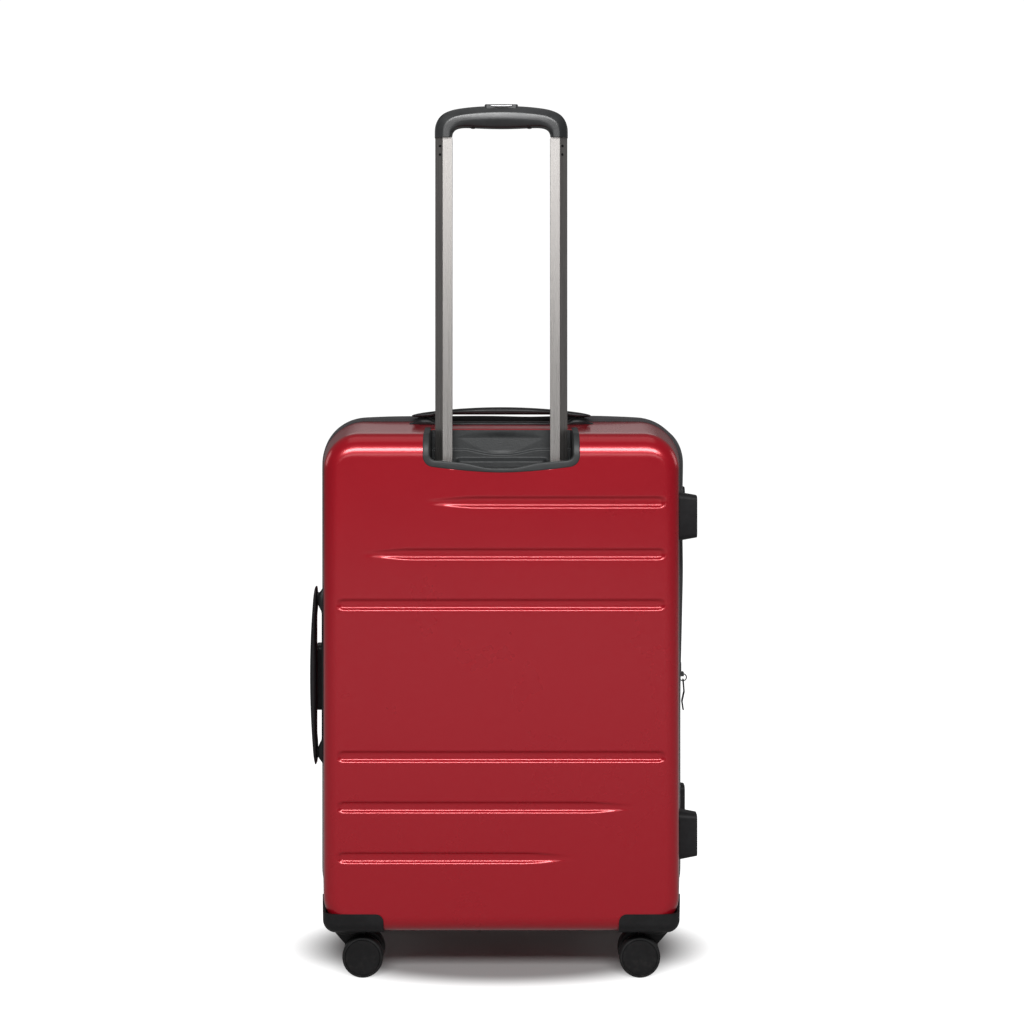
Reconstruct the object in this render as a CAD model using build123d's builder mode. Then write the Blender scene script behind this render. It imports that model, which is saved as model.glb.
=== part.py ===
from build123d import *
from math import radians, tan
import os

os.makedirs("parts", exist_ok=True)

# A medium hard-shell suitcase on four twin-wheel casters, telescopic handle pulled out.
# X runs across the case, -Y is the back (the trolley side), +Z is up.
# The origin is on the floor, under the middle of the object. All sizes are in millimetres.

# --- clearances ---------------------------------------------------------------
gap = 0.3                # between pieces that pass or seat on each other
touch = 0.05             # between faces that bear on each other
running = 0.05           # radial, shaft in hole
past = 5.0               # a cutter runs this far beyond the surface that it cuts

# --- casters ------------------------------------------------------------------
wheel_radius = 24.0
wheel_width = 14.0
wheel_pitch = 30.0       # between the twin wheels' middles
wheel_web = 3.5          # solid outer face of a wheel, over the axle's end
trail = 17.0             # of the axle behind the swivel
fork_width = 13.0
fork_head = 6.3          # height of the round head between wheels and housing
axle_radius = 2.5
swivel_radius = 20.0
stud_radius = 5.0
head_bottom = 2 * wheel_radius + 1.8
head_top = head_bottom + fork_head

# --- wheel housings -------------------------------------------------------------
housing_width = 82.0     # from its inner side to the shell's edge
housing_height = 25.6
housing_length = 77.0
housing_corner = 9.0     # of its inner top corner
housing_outer_corner = 26.0   # of its outer bottom corner, at the shell's open edge
housing_edge = 12.0      # round its outer faces
housing_proud = 0.8
housing_wall = 3.0
housing_bottom = head_top + gap
housing_top = housing_bottom + housing_height
stud_top = housing_top - 4

# --- case -----------------------------------------------------------------------
case_width = 436.0       # across the shells at their open edges
case_height = 600.0      # the same, upright
case_bottom = housing_bottom - 9.4   # floor to the shells' lowest edge
shell_depth = 119.0      # one shell, from its open edge to its outer face
band_span = 32.0         # between the two shells' open edges
corner_radius = 52.0     # of the outline, at the open edge
edge_radius = 20.0       # round the outer face
draft = 6.2              # degrees, on the four walls of a shell
wall = 2.5
half_width = case_width / 2
case_middle = case_bottom + case_height / 2
case_top = case_bottom + case_height
edge_y = band_span / 2
face_y = edge_y + shell_depth
slope = tan(radians(draft))
housing_from = half_width - housing_width
swivel_x, swivel_y = half_width - 39, face_y - 44

groove_height = 14.0
groove_depth = 2.5
groove_end = half_width - 28
grooves = (              # height from the case's middle, from X, to X
    (211.0, 113 - groove_end, groove_end),
    (151.0, 39 - groove_end, groove_end),
    (92.5, -groove_end, groove_end),
    (-83.0, -groove_end, groove_end),
    (-141.5, -groove_end, groove_end - 43),
    (-200.0, -groove_end, groove_end - 114),
)

# --- bands, zips and gusset -----------------------------------------------------
band_proud = 1.0         # bands beyond the shells' edges
band_inset = 4.0         # bands inside the shells' edges
zip_gap = 0.5            # between two bands, at each zip
mid_band_span = 10.0
gusset_thick = 7.0
gusset_margin = 2.0      # from a band's edge to the gusset or the hinge strip
hinge_strip_thick = 0.7
hinge_strip_height = 440.0
slider_depth = 2.7       # zip slider, out from the band
slider_width = 8.0
band_x = half_width + band_proud
zip_y = mid_band_span / 2 + zip_gap / 2

# --- lining and straps ----------------------------------------------------------
lining_gap = 0.4
lining_thick = 1.0
front_lining_depth = shell_depth - 5.5   # from the shell's edge to the panel
strap_width = 25.0
strap_thick = 1.2
strap_inset = 14.0           # from the shell's edge down to the straps
strap_turn = 32.0            # degrees, each strap from level
buckle_size = (62.0, 8.0, 48.0)

# --- trolley tubes, guides and base --------------------------------------------------
tube_spacing = 134.6
tube_width = 20.0
tube_deep = 16.0
tube_wall = 1.2
facet_width, facet_depth = 9.0, 5.0      # the chamfered outer part of the tube's back face
tube_reach = 335.0       # tubes above the case, pulled out
tube_y = 30 - face_y
tube_rest = 1.5          # what is left under the tubes when they are down
guide_gap = 0.35
guide_wall = 1.5
guide_bottom = case_bottom + 17.5
base_width = tube_spacing + tube_width + 30
base_top = guide_bottom + 19.5
base_deep = 32.0
plug_height = 25.0
spigot_length = 30.0
pin_radius = 2.5
pin_length = 12.0
pin_travel = 2.0
pin_y = tube_y + 3
rod_radius = 2.0
rod_y = tube_y - 2.5
rivet_radius = 1.5
rivet_x = tube_spacing / 2 + 4.2
rivet_proud = 0.2

# --- trolley cup ------------------------------------------------------------------------
grip_width = 156.0
cup_half_width = grip_width / 2 + 13
cup_rim = 8.0
cup_floor = case_top - 50.5
cup_bottom = cup_floor - 4.5
cup_wall = 2.5
cup_depth = 45.0
cup_proud = 0.8
cup_corner = 10.0
pocket = cup_half_width - cup_rim
cup_back = cup_depth - face_y
back_lining_depth = shell_depth - cup_depth - cup_wall - 0.5   # its panel runs behind the cup

tube_top = case_top + tube_reach
trolley_travel = tube_top - cup_floor - tube_rest
tube_bottom = guide_bottom + tube_rest + trolley_travel
pin_height = tube_bottom + 10
rivet_heights = (tube_top - 20, tube_top - 10)

# --- grip ---------------------------------------------------------------------------------
grip_deep = 24.0
grip_top = tube_top + 37.5
grip_split = grip_top - 11.5
grip_underside = tube_top + 12
grip_leg = 20.0
grip_shoulder = 13.0     # height of the grip's straight outer side
grip_round = 24.0        # how far in from the side its top corner runs
grip_chamfer = 3.0
grip_side = grip_width / 2
leg_inner = grip_side - grip_leg - 0.5
button_size = (39.0, 14.0)
button_foot = 7.2        # the button's narrow part, inside the grip
button_top = grip_top + 1.5
button_travel = 4.0
rod_level = grip_split - 2
rod_bar = 4.0            # height of the bar that the button stands on

# --- carry handles --------------------------------------------------------------------------
handle_length = 216.0
handle_deep = 24.0
top_handle_reach, side_handle_reach = 19.5, 21.0   # from the handle plane to the crown
handle_gap = 10.0        # finger gap
handle_end = 11.0        # from the shell's surface to the bow's ends
top_handle_y = -edge_y - 16
side_handle_y = -edge_y - 54
top_handle_crown = case_top + 17.8
side_reach = half_width + 14.5   # the side handle's crown and the feet's pads, from the middle
side_handle_height = case_middle - 8
stem_size = (10.0, 8.0)
stem_u = handle_length / 2 - 12
tower_top = handle_gap - 3.3
stem_start = 2.4         # from the handle plane, clear of the shell's draft

# --- feet ------------------------------------------------------------------------------------
foot_heights = (case_bottom + 110.5, case_top - 111)
foot_size = (30.0, 58.0)
foot_y = -edge_y - 54
foot_height = 24.0       # from the foot's buried base to its pad
foot_taper = 8.0
foot_corner = 8.0

# --- combination lock and zip pulls -------------------------------------------------------------
lock_height = case_middle - 8
lock_size = (31.0, 78.0)
lock_y = -edge_y - 18.5
lock_face = half_width + 6
lock_lip = 1.2           # lock face over the channel for the pulls' tabs
lock_front = lock_y + lock_size[0] / 2
dial_radius, dial_width = 4.5, 5.0
dial_heights = (lock_height + 6, lock_height + 15, lock_height + 24)
dial_x, dial_y = lock_face - 3.5, lock_y - 5.5
lock_button_height = lock_height - 17
lock_button_size = (10.0, 12.0)
lock_pin_radius = 1.2
main_pull_heights = (lock_height - 7, lock_height + 7)
tab_thick, tab_height, tab_bite = 2.0, 6.0, 4.0
ring_radius, ring_wire = 4.25, 0.75
bail_radius = 0.8
bail_x, bail_height = band_x + 5.4, case_middle - 14.5
pull_strap_length = 42.5


def save(piece, name):
    """Label a finished piece and write it as one STEP file."""
    piece.part.label = name
    export_step(piece.part, f"parts/{name}.step")


def box(x, y, z, mode=Mode.ADD):
    """A block given by its two ends along each axis."""
    with Locations((sum(x) / 2, sum(y) / 2, sum(z) / 2)):
        Box(abs(x[1] - x[0]), abs(y[1] - y[0]), abs(z[1] - z[0]), mode=mode)


def outline(grow, corner=corner_radius):
    """The case's rounded outline, in a sketch on an XZ plane."""
    with Locations((0, case_middle)):
        RectangleRounded(case_width + 2 * grow, case_height + 2 * grow, corner + grow)


def shell_block(grow=0.0, corner=corner_radius, edge=edge_radius):
    """The back shell's form as a solid, every face moved outward by grow."""
    with BuildPart() as block:
        with BuildSketch(Plane.XZ.offset(edge_y)):
            outline(grow, corner)
        extrude(amount=shell_depth + grow, taper=draft)
        fillet(block.faces().sort_by(Axis.Y)[0].edges(), edge + grow)
    return block.part


def groove_bars(height, level, depth):
    """One rounded bar for each groove, sunk from the given level towards the case's middle."""
    with BuildPart() as bars:
        with BuildSketch(Plane.XZ.offset(level)):
            for above, x_from, x_to in grooves:
                with Locations(((x_from + x_to) / 2, case_middle + above)):
                    SlotOverall(x_to - x_from + height - groove_height, height)
        extrude(amount=-depth)
    return bars.part


def housing_profile(side, grow=0.0):
    """A wheel housing seen from the back, in a sketch on an XZ plane."""
    low, high = housing_bottom - 4 * past * (grow > 0), housing_top + grow
    inner, outer = housing_from - grow, half_width + past
    with Locations((side * (inner + outer) / 2, (low + high) / 2)):
        block = Rectangle(outer - inner, high - low)
    inner_top = block.vertices().sort_by(lambda v: abs(v.X) - v.Y)[0]
    fillet(inner_top, housing_corner + grow)


def bare_shell():
    """A bare shell with its grooves and the cut-outs for its two wheel housings."""
    outer, inner = shell_block(), shell_block(-wall)
    pads = groove_bars(groove_height + 2 * wall, face_y - wall, groove_depth)
    cuts = groove_bars(groove_height, face_y, groove_depth)
    with BuildPart() as shell:
        add(outer)
        add(inner, mode=Mode.SUBTRACT)
        add(pads)
        add(cuts, mode=Mode.SUBTRACT)
        for side in (-1, 1):
            with BuildSketch(Plane.XZ.offset(face_y + past)):
                housing_profile(side, grow=gap)
            extrude(amount=-(housing_length + past + gap), mode=Mode.SUBTRACT)
    return shell.part


# ============================ shells ============================
shell = bare_shell()
window = pocket + cup_wall + gap

with BuildPart() as back_shell:
    add(shell)
    box((-window, window), (-face_y - past, cup_back + cup_wall + gap),
        (cup_floor - cup_wall - gap, case_top + past), mode=Mode.SUBTRACT)
save(back_shell, "back_shell")

with BuildPart() as front_shell:
    add(shell)
    mirror(about=Plane.XZ, mode=Mode.REPLACE)
save(front_shell, "front_shell")


# ============================ bands, gusset, hinge strip ============================
def band(y_from, y_to, outer, inner):
    """A ring that follows the case's outline between two depths."""
    with BuildPart() as ring:
        with BuildSketch(Plane.XZ.offset(-y_from)):
            outline(outer)
            with BuildSketch(mode=Mode.SUBTRACT):
                outline(inner)
        extrude(amount=y_from - y_to)
    return ring


mid = mid_band_span / 2
back_band = band(-edge_y, -mid - zip_gap, band_proud, -band_inset)
save(back_band, "back_band")
mid_band = band(-mid, mid, band_proud, -band_inset)
save(mid_band, "mid_band")
front_band = band(mid + zip_gap, edge_y, band_proud, -band_inset)
save(front_band, "front_band")

gusset_inset = band_inset + gap
gusset = band(gusset_margin - mid, edge_y - gusset_margin / 2, -gusset_inset, -gusset_inset - gusset_thick)
save(gusset, "expansion_gusset")

strip_x = half_width - band_inset - gap
with BuildPart() as hinge_strip:
    box((strip_x - hinge_strip_thick, strip_x), (gusset_margin / 2 - edge_y, gusset_margin - mid - gap),
        (case_middle - hinge_strip_height / 2, case_middle + hinge_strip_height / 2))
save(hinge_strip, "hinge_strip")


# ============================ wheel housings ============================
def housing(side):
    """A back wheel housing: a hollow black corner block with the caster's swivel boss."""
    skin = shell_block(housing_proud, housing_outer_corner, housing_edge)
    inner = shell_block(housing_proud - housing_wall, housing_outer_corner, housing_edge)
    with BuildPart() as hollow:
        box((side * (housing_from + housing_wall), side * half_width),
            (-face_y - past, -face_y + housing_length - housing_wall),
            (housing_bottom + housing_wall, housing_top + past))
        add(inner, mode=Mode.INTERSECT)
    with BuildPart() as body:
        with BuildSketch(Plane.XZ.offset(face_y + past)):
            housing_profile(side)
        extrude(amount=-(housing_length + past))
        add(skin, mode=Mode.INTERSECT)
        add(hollow.part, mode=Mode.SUBTRACT)
        with Locations((side * swivel_x, -swivel_y, housing_bottom)):
            Cylinder(swivel_radius + 1, housing_wall, align=(Align.CENTER, Align.CENTER, Align.MIN))
            Cylinder(2 * stud_radius, stud_top + 2 - housing_bottom,
                     align=(Align.CENTER, Align.CENTER, Align.MIN))
        with BuildSketch(Plane.XY.offset(housing_bottom)):
            with Locations((side * swivel_x, -swivel_y)):
                Circle(swivel_radius + 1)
                Circle(swivel_radius + 1 - housing_wall, mode=Mode.SUBTRACT)
        extrude(amount=housing_height - housing_corner)
        with Locations((side * swivel_x, -swivel_y, housing_bottom)):
            Cylinder(stud_radius + running, stud_top + 1 - housing_bottom,
                     align=(Align.CENTER, Align.CENTER, Align.MIN), mode=Mode.SUBTRACT)
    return body


for side, side_name in ((-1, "left"), (1, "right")):
    back_housing = housing(side)
    with BuildPart() as front_housing:
        add(back_housing.part)
        mirror(about=Plane.XZ, mode=Mode.REPLACE)
    save(back_housing, f"wheel_housing_back_{side_name}")
    save(front_housing, f"wheel_housing_front_{side_name}")


# ============================ casters ============================
def fork(side, end):
    """A caster fork: a round head under the housing, a web between the wheels and a stud."""
    axle_x = side * (swivel_x - trail)
    with BuildPart() as body:
        with Locations((side * swivel_x, end * swivel_y, head_bottom)):
            Cylinder(swivel_radius, head_top - head_bottom,
                     align=(Align.CENTER, Align.CENTER, Align.MIN))
            Cylinder(stud_radius, stud_top - head_bottom,
                     align=(Align.CENTER, Align.CENTER, Align.MIN))
        fillet(body.faces().group_by(Axis.Z)[0].edges(), 2)
        with BuildSketch(Plane.XZ.offset(-end * swivel_y)):
            with Locations((axle_x, wheel_radius)):
                Circle(9)
            with Locations((side * (swivel_x + 1), head_bottom + 1)):
                Rectangle(32, 3)
            make_hull()
        extrude(amount=fork_width / 2, both=True)
        with BuildSketch(Plane.XZ.offset(-end * swivel_y)):
            with Locations((axle_x, wheel_radius)):
                Circle(6)
        extrude(amount=(wheel_pitch - wheel_width) / 2 - gap, both=True)
        with BuildSketch(Plane.XZ.offset(-end * swivel_y)):
            with Locations((axle_x, wheel_radius)):
                Circle(axle_radius + touch / 2)
        extrude(amount=wheel_pitch, both=True, mode=Mode.SUBTRACT)
    return body


def axle(side, end):
    """The steel pin that a caster's two wheels turn on."""
    with BuildPart() as body:
        with BuildSketch(Plane.XZ.offset(-end * swivel_y)):
            with Locations((side * (swivel_x - trail), wheel_radius)):
                Circle(axle_radius)
        extrude(amount=(wheel_pitch + wheel_width) / 2 - wheel_web - gap, both=True)
    return body


def wheel(side, end, outward):
    """One disc of a twin wheel, its dished face turned away from the fork."""
    inner, outer = -wheel_width / 2, wheel_width / 2
    rim, dish = 0.84 * wheel_radius, 1.2
    with BuildPart() as body:
        with BuildSketch(Plane.XY):
            with BuildLine():
                Polyline((axle_radius + running, inner), (wheel_radius - 3, inner),
                         (wheel_radius, inner + 3), (wheel_radius, outer - 3),
                         (wheel_radius - 2.2, outer - 0.8), (rim, outer), (rim - 0.8, outer - dish),
                         (0, outer - dish), (0, outer - wheel_web),
                         (axle_radius + running, outer - wheel_web), close=True)
            make_face()
        revolve(axis=Axis.Y)
    centre = (side * (swivel_x - trail), end * swivel_y + outward * wheel_pitch / 2, wheel_radius)
    turned = body.part if outward > 0 else body.part.rotate(Axis.X, 180)
    with BuildPart() as placed:
        add(turned.moved(Location(centre)))
    return placed


for end, end_name in ((-1, "back"), (1, "front")):
    for side, side_name in ((-1, "left"), (1, "right")):
        place = f"{end_name}_{side_name}"
        save(fork(side, end), f"caster_fork_{place}")
        save(axle(side, end), f"caster_axle_{place}")
        save(wheel(side, end, end), f"wheel_{place}_outer")
        save(wheel(side, end, -end), f"wheel_{place}_inner")


# ============================ feet ============================
with BuildPart() as back_feet:
    for height in foot_heights:
        with BuildSketch(Plane.YZ.offset(side_reach)):
            with Locations((foot_y, height)):
                RectangleRounded(foot_size[0] - foot_taper, foot_size[1] - foot_taper, foot_corner - 2)
        with BuildSketch(Plane.YZ.offset(side_reach - foot_height)):
            with Locations((foot_y, height)):
                RectangleRounded(*foot_size, foot_corner)
        loft()
    add(shell_block(touch), mode=Mode.SUBTRACT)
with BuildPart() as front_feet:
    add(back_feet.part)
    mirror(about=Plane.XZ, mode=Mode.REPLACE)
save(back_feet, "side_feet_back")
save(front_feet, "side_feet_front")


# ============================ carry handles ============================
top_plane = Plane((0, top_handle_y, top_handle_crown - top_handle_reach), x_dir=(1, 0, 0),
                  z_dir=(0, -1, 0))
side_plane = Plane((side_handle_reach - side_reach, side_handle_y, side_handle_height),
                   x_dir=(0, 0, 1), z_dir=(0, -1, 0))


def handle_bow(plane, reach):
    """The bow: a flat arch with a stem near each end that slides in the base."""
    end = handle_length / 2
    with BuildPart() as bow:
        with BuildSketch(plane):
            with BuildLine():
                ThreePointArc((-end, handle_end), (0, reach), (end, handle_end))
                Polyline((end, handle_end), (end, tower_top + gap), (end - 24, tower_top + gap),
                         (end - 34, handle_gap), (34 - end, handle_gap),
                         (24 - end, tower_top + gap), (-end, tower_top + gap), (-end, handle_end))
            make_face()
        extrude(amount=handle_deep / 2, both=True)
        fillet(bow.edges().filter_by(GeomType.CIRCLE), 3)
        with BuildSketch(plane):
            with Locations((-stem_u, tower_top / 2 + stem_start), (stem_u, tower_top / 2 + stem_start)):
                Rectangle(stem_size[0], tower_top)
        extrude(amount=stem_size[1] / 2, both=True)
    return bow


def handle_base(plane):
    """The base: a plate on the shell with a tower at each end for the bow's stems."""
    end = handle_length / 2 + 4
    with BuildPart() as base:
        with BuildSketch(plane):
            with Locations((0, -2)):
                Rectangle(2 * end, 8)
            for u in (-stem_u, stem_u):
                with Locations((u, tower_top / 2 - 2)):
                    Rectangle(32, tower_top + 4)
        extrude(amount=handle_deep / 2 + 2, both=True)
        with BuildSketch(plane):
            for u in (-stem_u, stem_u):
                with Locations((u, tower_top / 2 + 0.6)):
                    Rectangle(stem_size[0] + 2 * gap, tower_top)
        extrude(amount=stem_size[1] / 2 + gap, both=True, mode=Mode.SUBTRACT)
        add(shell_block(touch), mode=Mode.SUBTRACT)
    return base


for along, plane, reach in (("top", top_plane, top_handle_reach),
                            ("side", side_plane, side_handle_reach)):
    save(handle_bow(plane, reach), f"{along}_handle")
    save(handle_base(plane), f"{along}_handle_base")


# ============================ trolley cup, guides and base ============================
rim_height = case_top + cup_corner - cup_bottom
with BuildPart() as rim_block:
    with BuildSketch(Plane.XZ.offset(face_y + past)):
        with Locations((0, cup_bottom + rim_height / 2)):
            RectangleRounded(2 * cup_half_width, rim_height, cup_corner)
    extrude(amount=-(cup_depth + cup_wall + past))
    add(shell_block(touch), mode=Mode.SUBTRACT)


def tube_section(side, inset=0.0, mode=Mode.ADD):
    """The trolley tube's outline: flat towards the middle, one chamfered outer facet."""
    u, v = tube_width / 2, tube_deep / 2
    with BuildSketch(mode=Mode.PRIVATE) as section:
        with BuildLine():
            Polyline((-side * u, -v), (side * (u - facet_width), -v), (side * u, facet_depth - v),
                     (side * u, v), (-side * u, v), (-side * u, -v))
        make_face()
        if inset:
            offset(amount=-inset, kind=Kind.INTERSECTION)
    with Locations((side * tube_spacing / 2, tube_y)):
        add(section.sketch, mode=mode)


with BuildPart() as trolley_cup:
    add(rim_block.part)
    box((-pocket - cup_wall, pocket + cup_wall), (-face_y - past, cup_back + cup_wall),
        (cup_floor - cup_wall, case_top + past))
    add(shell_block(cup_proud), mode=Mode.INTERSECT)
    box((-pocket, pocket), (past - face_y - 1, cup_back), (cup_floor, case_top + past), mode=Mode.SUBTRACT)
    box((-pocket, pocket), (-face_y - past, past - face_y), (cup_bottom + cup_rim, case_top + past),
        mode=Mode.SUBTRACT)
    for side in (-1, 1):
        with BuildSketch(Plane.XY.offset(cup_floor - cup_wall)):
            tube_section(side, -guide_gap)
        extrude(amount=cup_wall, mode=Mode.SUBTRACT)
save(trolley_cup, "trolley_cup")

with BuildPart() as guide_tubes:
    for side in (-1, 1):
        with BuildSketch(Plane.XY.offset(guide_bottom)):
            tube_section(side, -guide_gap - guide_wall)
            tube_section(side, -guide_gap, mode=Mode.SUBTRACT)
        extrude(amount=cup_floor - cup_wall - gap - guide_bottom)
        with BuildSketch(Plane.YZ.offset(side * (tube_spacing + tube_width) / 2)):
            with Locations((pin_y, pin_height - trolley_travel / 2)):
                SlotCenterToCenter(trolley_travel, 2 * (pin_radius + gap), rotation=90)
        extrude(amount=guide_gap + guide_wall + touch, both=True, mode=Mode.SUBTRACT)
save(guide_tubes, "guide_tubes")

with BuildPart() as trolley_base:
    box((-base_width / 2, base_width / 2), (tube_y - base_deep / 2, tube_y + base_deep / 2),
        (case_bottom, base_top))
    add(shell_block(-wall - gap), mode=Mode.INTERSECT)
    for side in (-1, 1):
        with BuildSketch(Plane.XY.offset(guide_bottom - gap)):
            tube_section(side, -guide_gap - guide_wall - gap)
        extrude(amount=base_top, mode=Mode.SUBTRACT)
    hollow = tube_spacing / 2 - tube_width - 1.3
    box((-hollow, hollow), (tube_y - base_deep / 2 + 4, tube_y + base_deep / 2 - 4),
        (guide_bottom + 4, base_top), mode=Mode.SUBTRACT)
save(trolley_base, "trolley_base")

# ============================ sliding tubes ============================
for side, side_name in ((-1, "left"), (1, "right")):
    with BuildPart() as tube:
        with BuildSketch(Plane.XY.offset(tube_bottom)):
            tube_section(side)
            tube_section(side, tube_wall, mode=Mode.SUBTRACT)
        extrude(amount=tube_top - tube_bottom)
        with BuildSketch(Plane.XZ.offset(-tube_y)):
            with Locations(*[(side * rivet_x, level) for level in rivet_heights]):
                Circle(rivet_radius + touch)
        extrude(amount=tube_deep, mode=Mode.SUBTRACT)
        with BuildSketch(Plane.YZ.offset(side * (tube_spacing + tube_width) / 2)):
            with Locations((pin_y, pin_height)):
                Circle(pin_radius + running)
        extrude(amount=2 * tube_wall, both=True, mode=Mode.SUBTRACT)
    save(tube, f"trolley_tube_{side_name}")

    with BuildPart() as lock_pin:
        tip = side * ((tube_spacing + tube_width) / 2 + guide_gap + guide_wall - 2 * touch)
        with BuildSketch(Plane.YZ.offset(tip)):
            with Locations((pin_y, pin_height)):
                Circle(pin_radius)
        extrude(amount=-side * pin_length)
    save(lock_pin, f"lock_pin_{side_name}")

with BuildPart() as tube_plugs:
    for side in (-1, 1):
        with BuildSketch(Plane.XY.offset(tube_bottom + gap)):
            tube_section(side, tube_wall + gap)
        extrude(amount=plug_height)
        with BuildSketch(Plane.YZ.offset(side * (tube_spacing + tube_width) / 2)):
            with Locations((pin_y, pin_height)):
                Circle(pin_radius + running)
        extrude(amount=-side * (pin_length + pin_travel + 1), mode=Mode.SUBTRACT)
        with BuildSketch(Plane.XY.offset(tube_bottom)):
            with Locations((side * tube_spacing / 2, rod_y)):
                Circle(rod_radius + gap)
        extrude(amount=plug_height + past, mode=Mode.SUBTRACT)
save(tube_plugs, "tube_plugs")

with BuildPart() as rivets:
    for side in (-1, 1):
        with BuildSketch(Plane.XY.offset(tube_bottom)):
            tube_section(side, -rivet_proud)
        extrude(amount=tube_top - tube_bottom)
    with BuildPart(mode=Mode.INTERSECT):
        for side in (-1, 1):
            with BuildSketch(Plane.XZ.offset(tube_deep - tube_y)):
                with Locations(*[(side * rivet_x, level) for level in rivet_heights]):
                    Circle(rivet_radius)
            extrude(amount=-tube_deep + 3)
save(rivets, "trolley_rivets")

# ============================ grip ============================
shoulder = tube_top + grip_shoulder
with BuildPart() as grip:
    with BuildSketch(Plane.XZ.offset(-tube_y)):
        with BuildLine():
            Line((-grip_side, tube_top), (-grip_side, shoulder))
            ThreePointArc((-grip_side, shoulder), (-grip_side + 7, grip_top - 8),
                          (grip_round - grip_side, grip_top - 2.5))
            ThreePointArc((grip_round - grip_side, grip_top - 2.5), (0, grip_top),
                          (grip_side - grip_round, grip_top - 2.5))
            ThreePointArc((grip_side - grip_round, grip_top - 2.5), (grip_side - 7, grip_top - 8),
                          (grip_side, shoulder))
            Polyline((grip_side, shoulder), (grip_side, tube_top), (leg_inner, tube_top),
                     (leg_inner, tube_top + 5), (leg_inner - 6, tube_top + 11))
            ThreePointArc((leg_inner - 6, tube_top + 11), (0, grip_underside),
                          (6 - leg_inner, tube_top + 11))
            Polyline((6 - leg_inner, tube_top + 11), (-leg_inner, tube_top + 5),
                     (-leg_inner, tube_top), (-grip_side, tube_top))
        make_face()
    extrude(amount=grip_deep / 2, both=True)
    with BuildSketch(Plane.YZ):
        Polygon((tube_y - grip_deep / 2, tube_bottom), (tube_y + grip_deep / 2, tube_bottom),
                (tube_y + grip_deep / 2, grip_top - grip_chamfer),
                (tube_y + grip_deep / 2 - grip_chamfer, grip_top),
                (tube_y - grip_deep / 2 + grip_chamfer, grip_top),
                (tube_y - grip_deep / 2, grip_top - grip_chamfer), align=None)
    extrude(amount=grip_width, both=True, mode=Mode.INTERSECT)

with BuildPart() as grip_base:
    add(grip.part)
    split(bisect_by=Plane.XY.offset(grip_split), keep=Keep.BOTTOM)
    box((-grip_side + 6, grip_side - 6), (tube_y - button_foot / 2 - gap, tube_y + button_foot / 2 + gap),
        (rod_level - rod_bar - button_travel - 1, grip_split), mode=Mode.SUBTRACT)
    for side in (-1, 1):
        with BuildSketch(Plane.XY.offset(tube_top - spigot_length)):
            tube_section(side, tube_wall + gap)
        extrude(amount=spigot_length)
        with BuildSketch(Plane.XY.offset(tube_top - spigot_length)):
            with Locations((side * tube_spacing / 2, rod_y)):
                Circle(rod_radius + gap)
        extrude(amount=grip_split - tube_top + spigot_length, mode=Mode.SUBTRACT)
        with BuildSketch(Plane.XZ.offset(-tube_y)):
            with Locations(*[(side * rivet_x, level) for level in rivet_heights]):
                Circle(rivet_radius + touch)
        extrude(amount=tube_deep, mode=Mode.SUBTRACT)
save(grip_base, "grip_base")

with BuildPart() as grip_cover:
    add(grip.part)
    split(bisect_by=Plane.XY.offset(grip_split), keep=Keep.TOP)
    box((-button_size[0] / 2 - gap, button_size[0] / 2 + gap),
        (tube_y - button_size[1] / 2 - gap, tube_y + button_size[1] / 2 + gap),
        (grip_split, button_top), mode=Mode.SUBTRACT)
save(grip_cover, "grip_cover")

with BuildPart() as grip_button:
    with BuildSketch(Plane.XY.offset(rod_level + gap)):
        with Locations((0, tube_y)):
            RectangleRounded(button_size[0], button_size[1], 3)
    extrude(amount=button_top - rod_level - gap)
    for end in (-1, 1):
        box((-button_size[0], button_size[0]), (tube_y + end * button_foot / 2, tube_y + end * grip_deep),
            (rod_level, grip_split + button_travel + 0.5), mode=Mode.SUBTRACT)
    fillet(grip_button.faces().sort_by(Axis.Z)[-1].edges(), 1.2)
save(grip_button, "grip_button")

with BuildPart() as push_rods:
    box((-tube_spacing / 2, tube_spacing / 2), (tube_y - 3.5, tube_y + 3.5),
        (rod_level - rod_bar, rod_level))
    for side in (-1, 1):
        rod_end = pin_height + pin_radius + button_travel + 1
        with BuildSketch(Plane.XY.offset(rod_end)):
            with Locations((side * tube_spacing / 2, rod_y)):
                Circle(rod_radius)
        extrude(amount=rod_level - rod_end)
save(push_rods, "push_rods")

# ============================ linings, straps and buckle ============================
def lining(depth):
    """A thin open box just inside a back shell, its panel at the given depth."""
    outer, inner = shell_block(-wall - lining_gap), shell_block(-wall - lining_gap - lining_thick)
    panel = -edge_y - depth
    with BuildPart() as core:
        add(inner)
        box((-case_width, case_width), (-2 * face_y, panel + lining_thick), (0, 2 * case_top),
            mode=Mode.SUBTRACT)
    with BuildPart() as liner:
        add(outer)
        box((-case_width, case_width), (-2 * face_y, panel), (0, 2 * case_top), mode=Mode.SUBTRACT)
        add(core.part, mode=Mode.SUBTRACT)
        for side in (-1, 1):
            box((side * (housing_from - 2), side * half_width),
                (-face_y - past, -face_y + housing_length + 2), (0, housing_top + 4), mode=Mode.SUBTRACT)
    return liner


back_lining = lining(back_lining_depth)
save(back_lining, "back_lining")
deep_lining = lining(front_lining_depth)
with BuildPart() as front_lining:
    add(deep_lining.part)
    mirror(about=Plane.XZ, mode=Mode.REPLACE)
save(front_lining, "front_lining")

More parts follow.
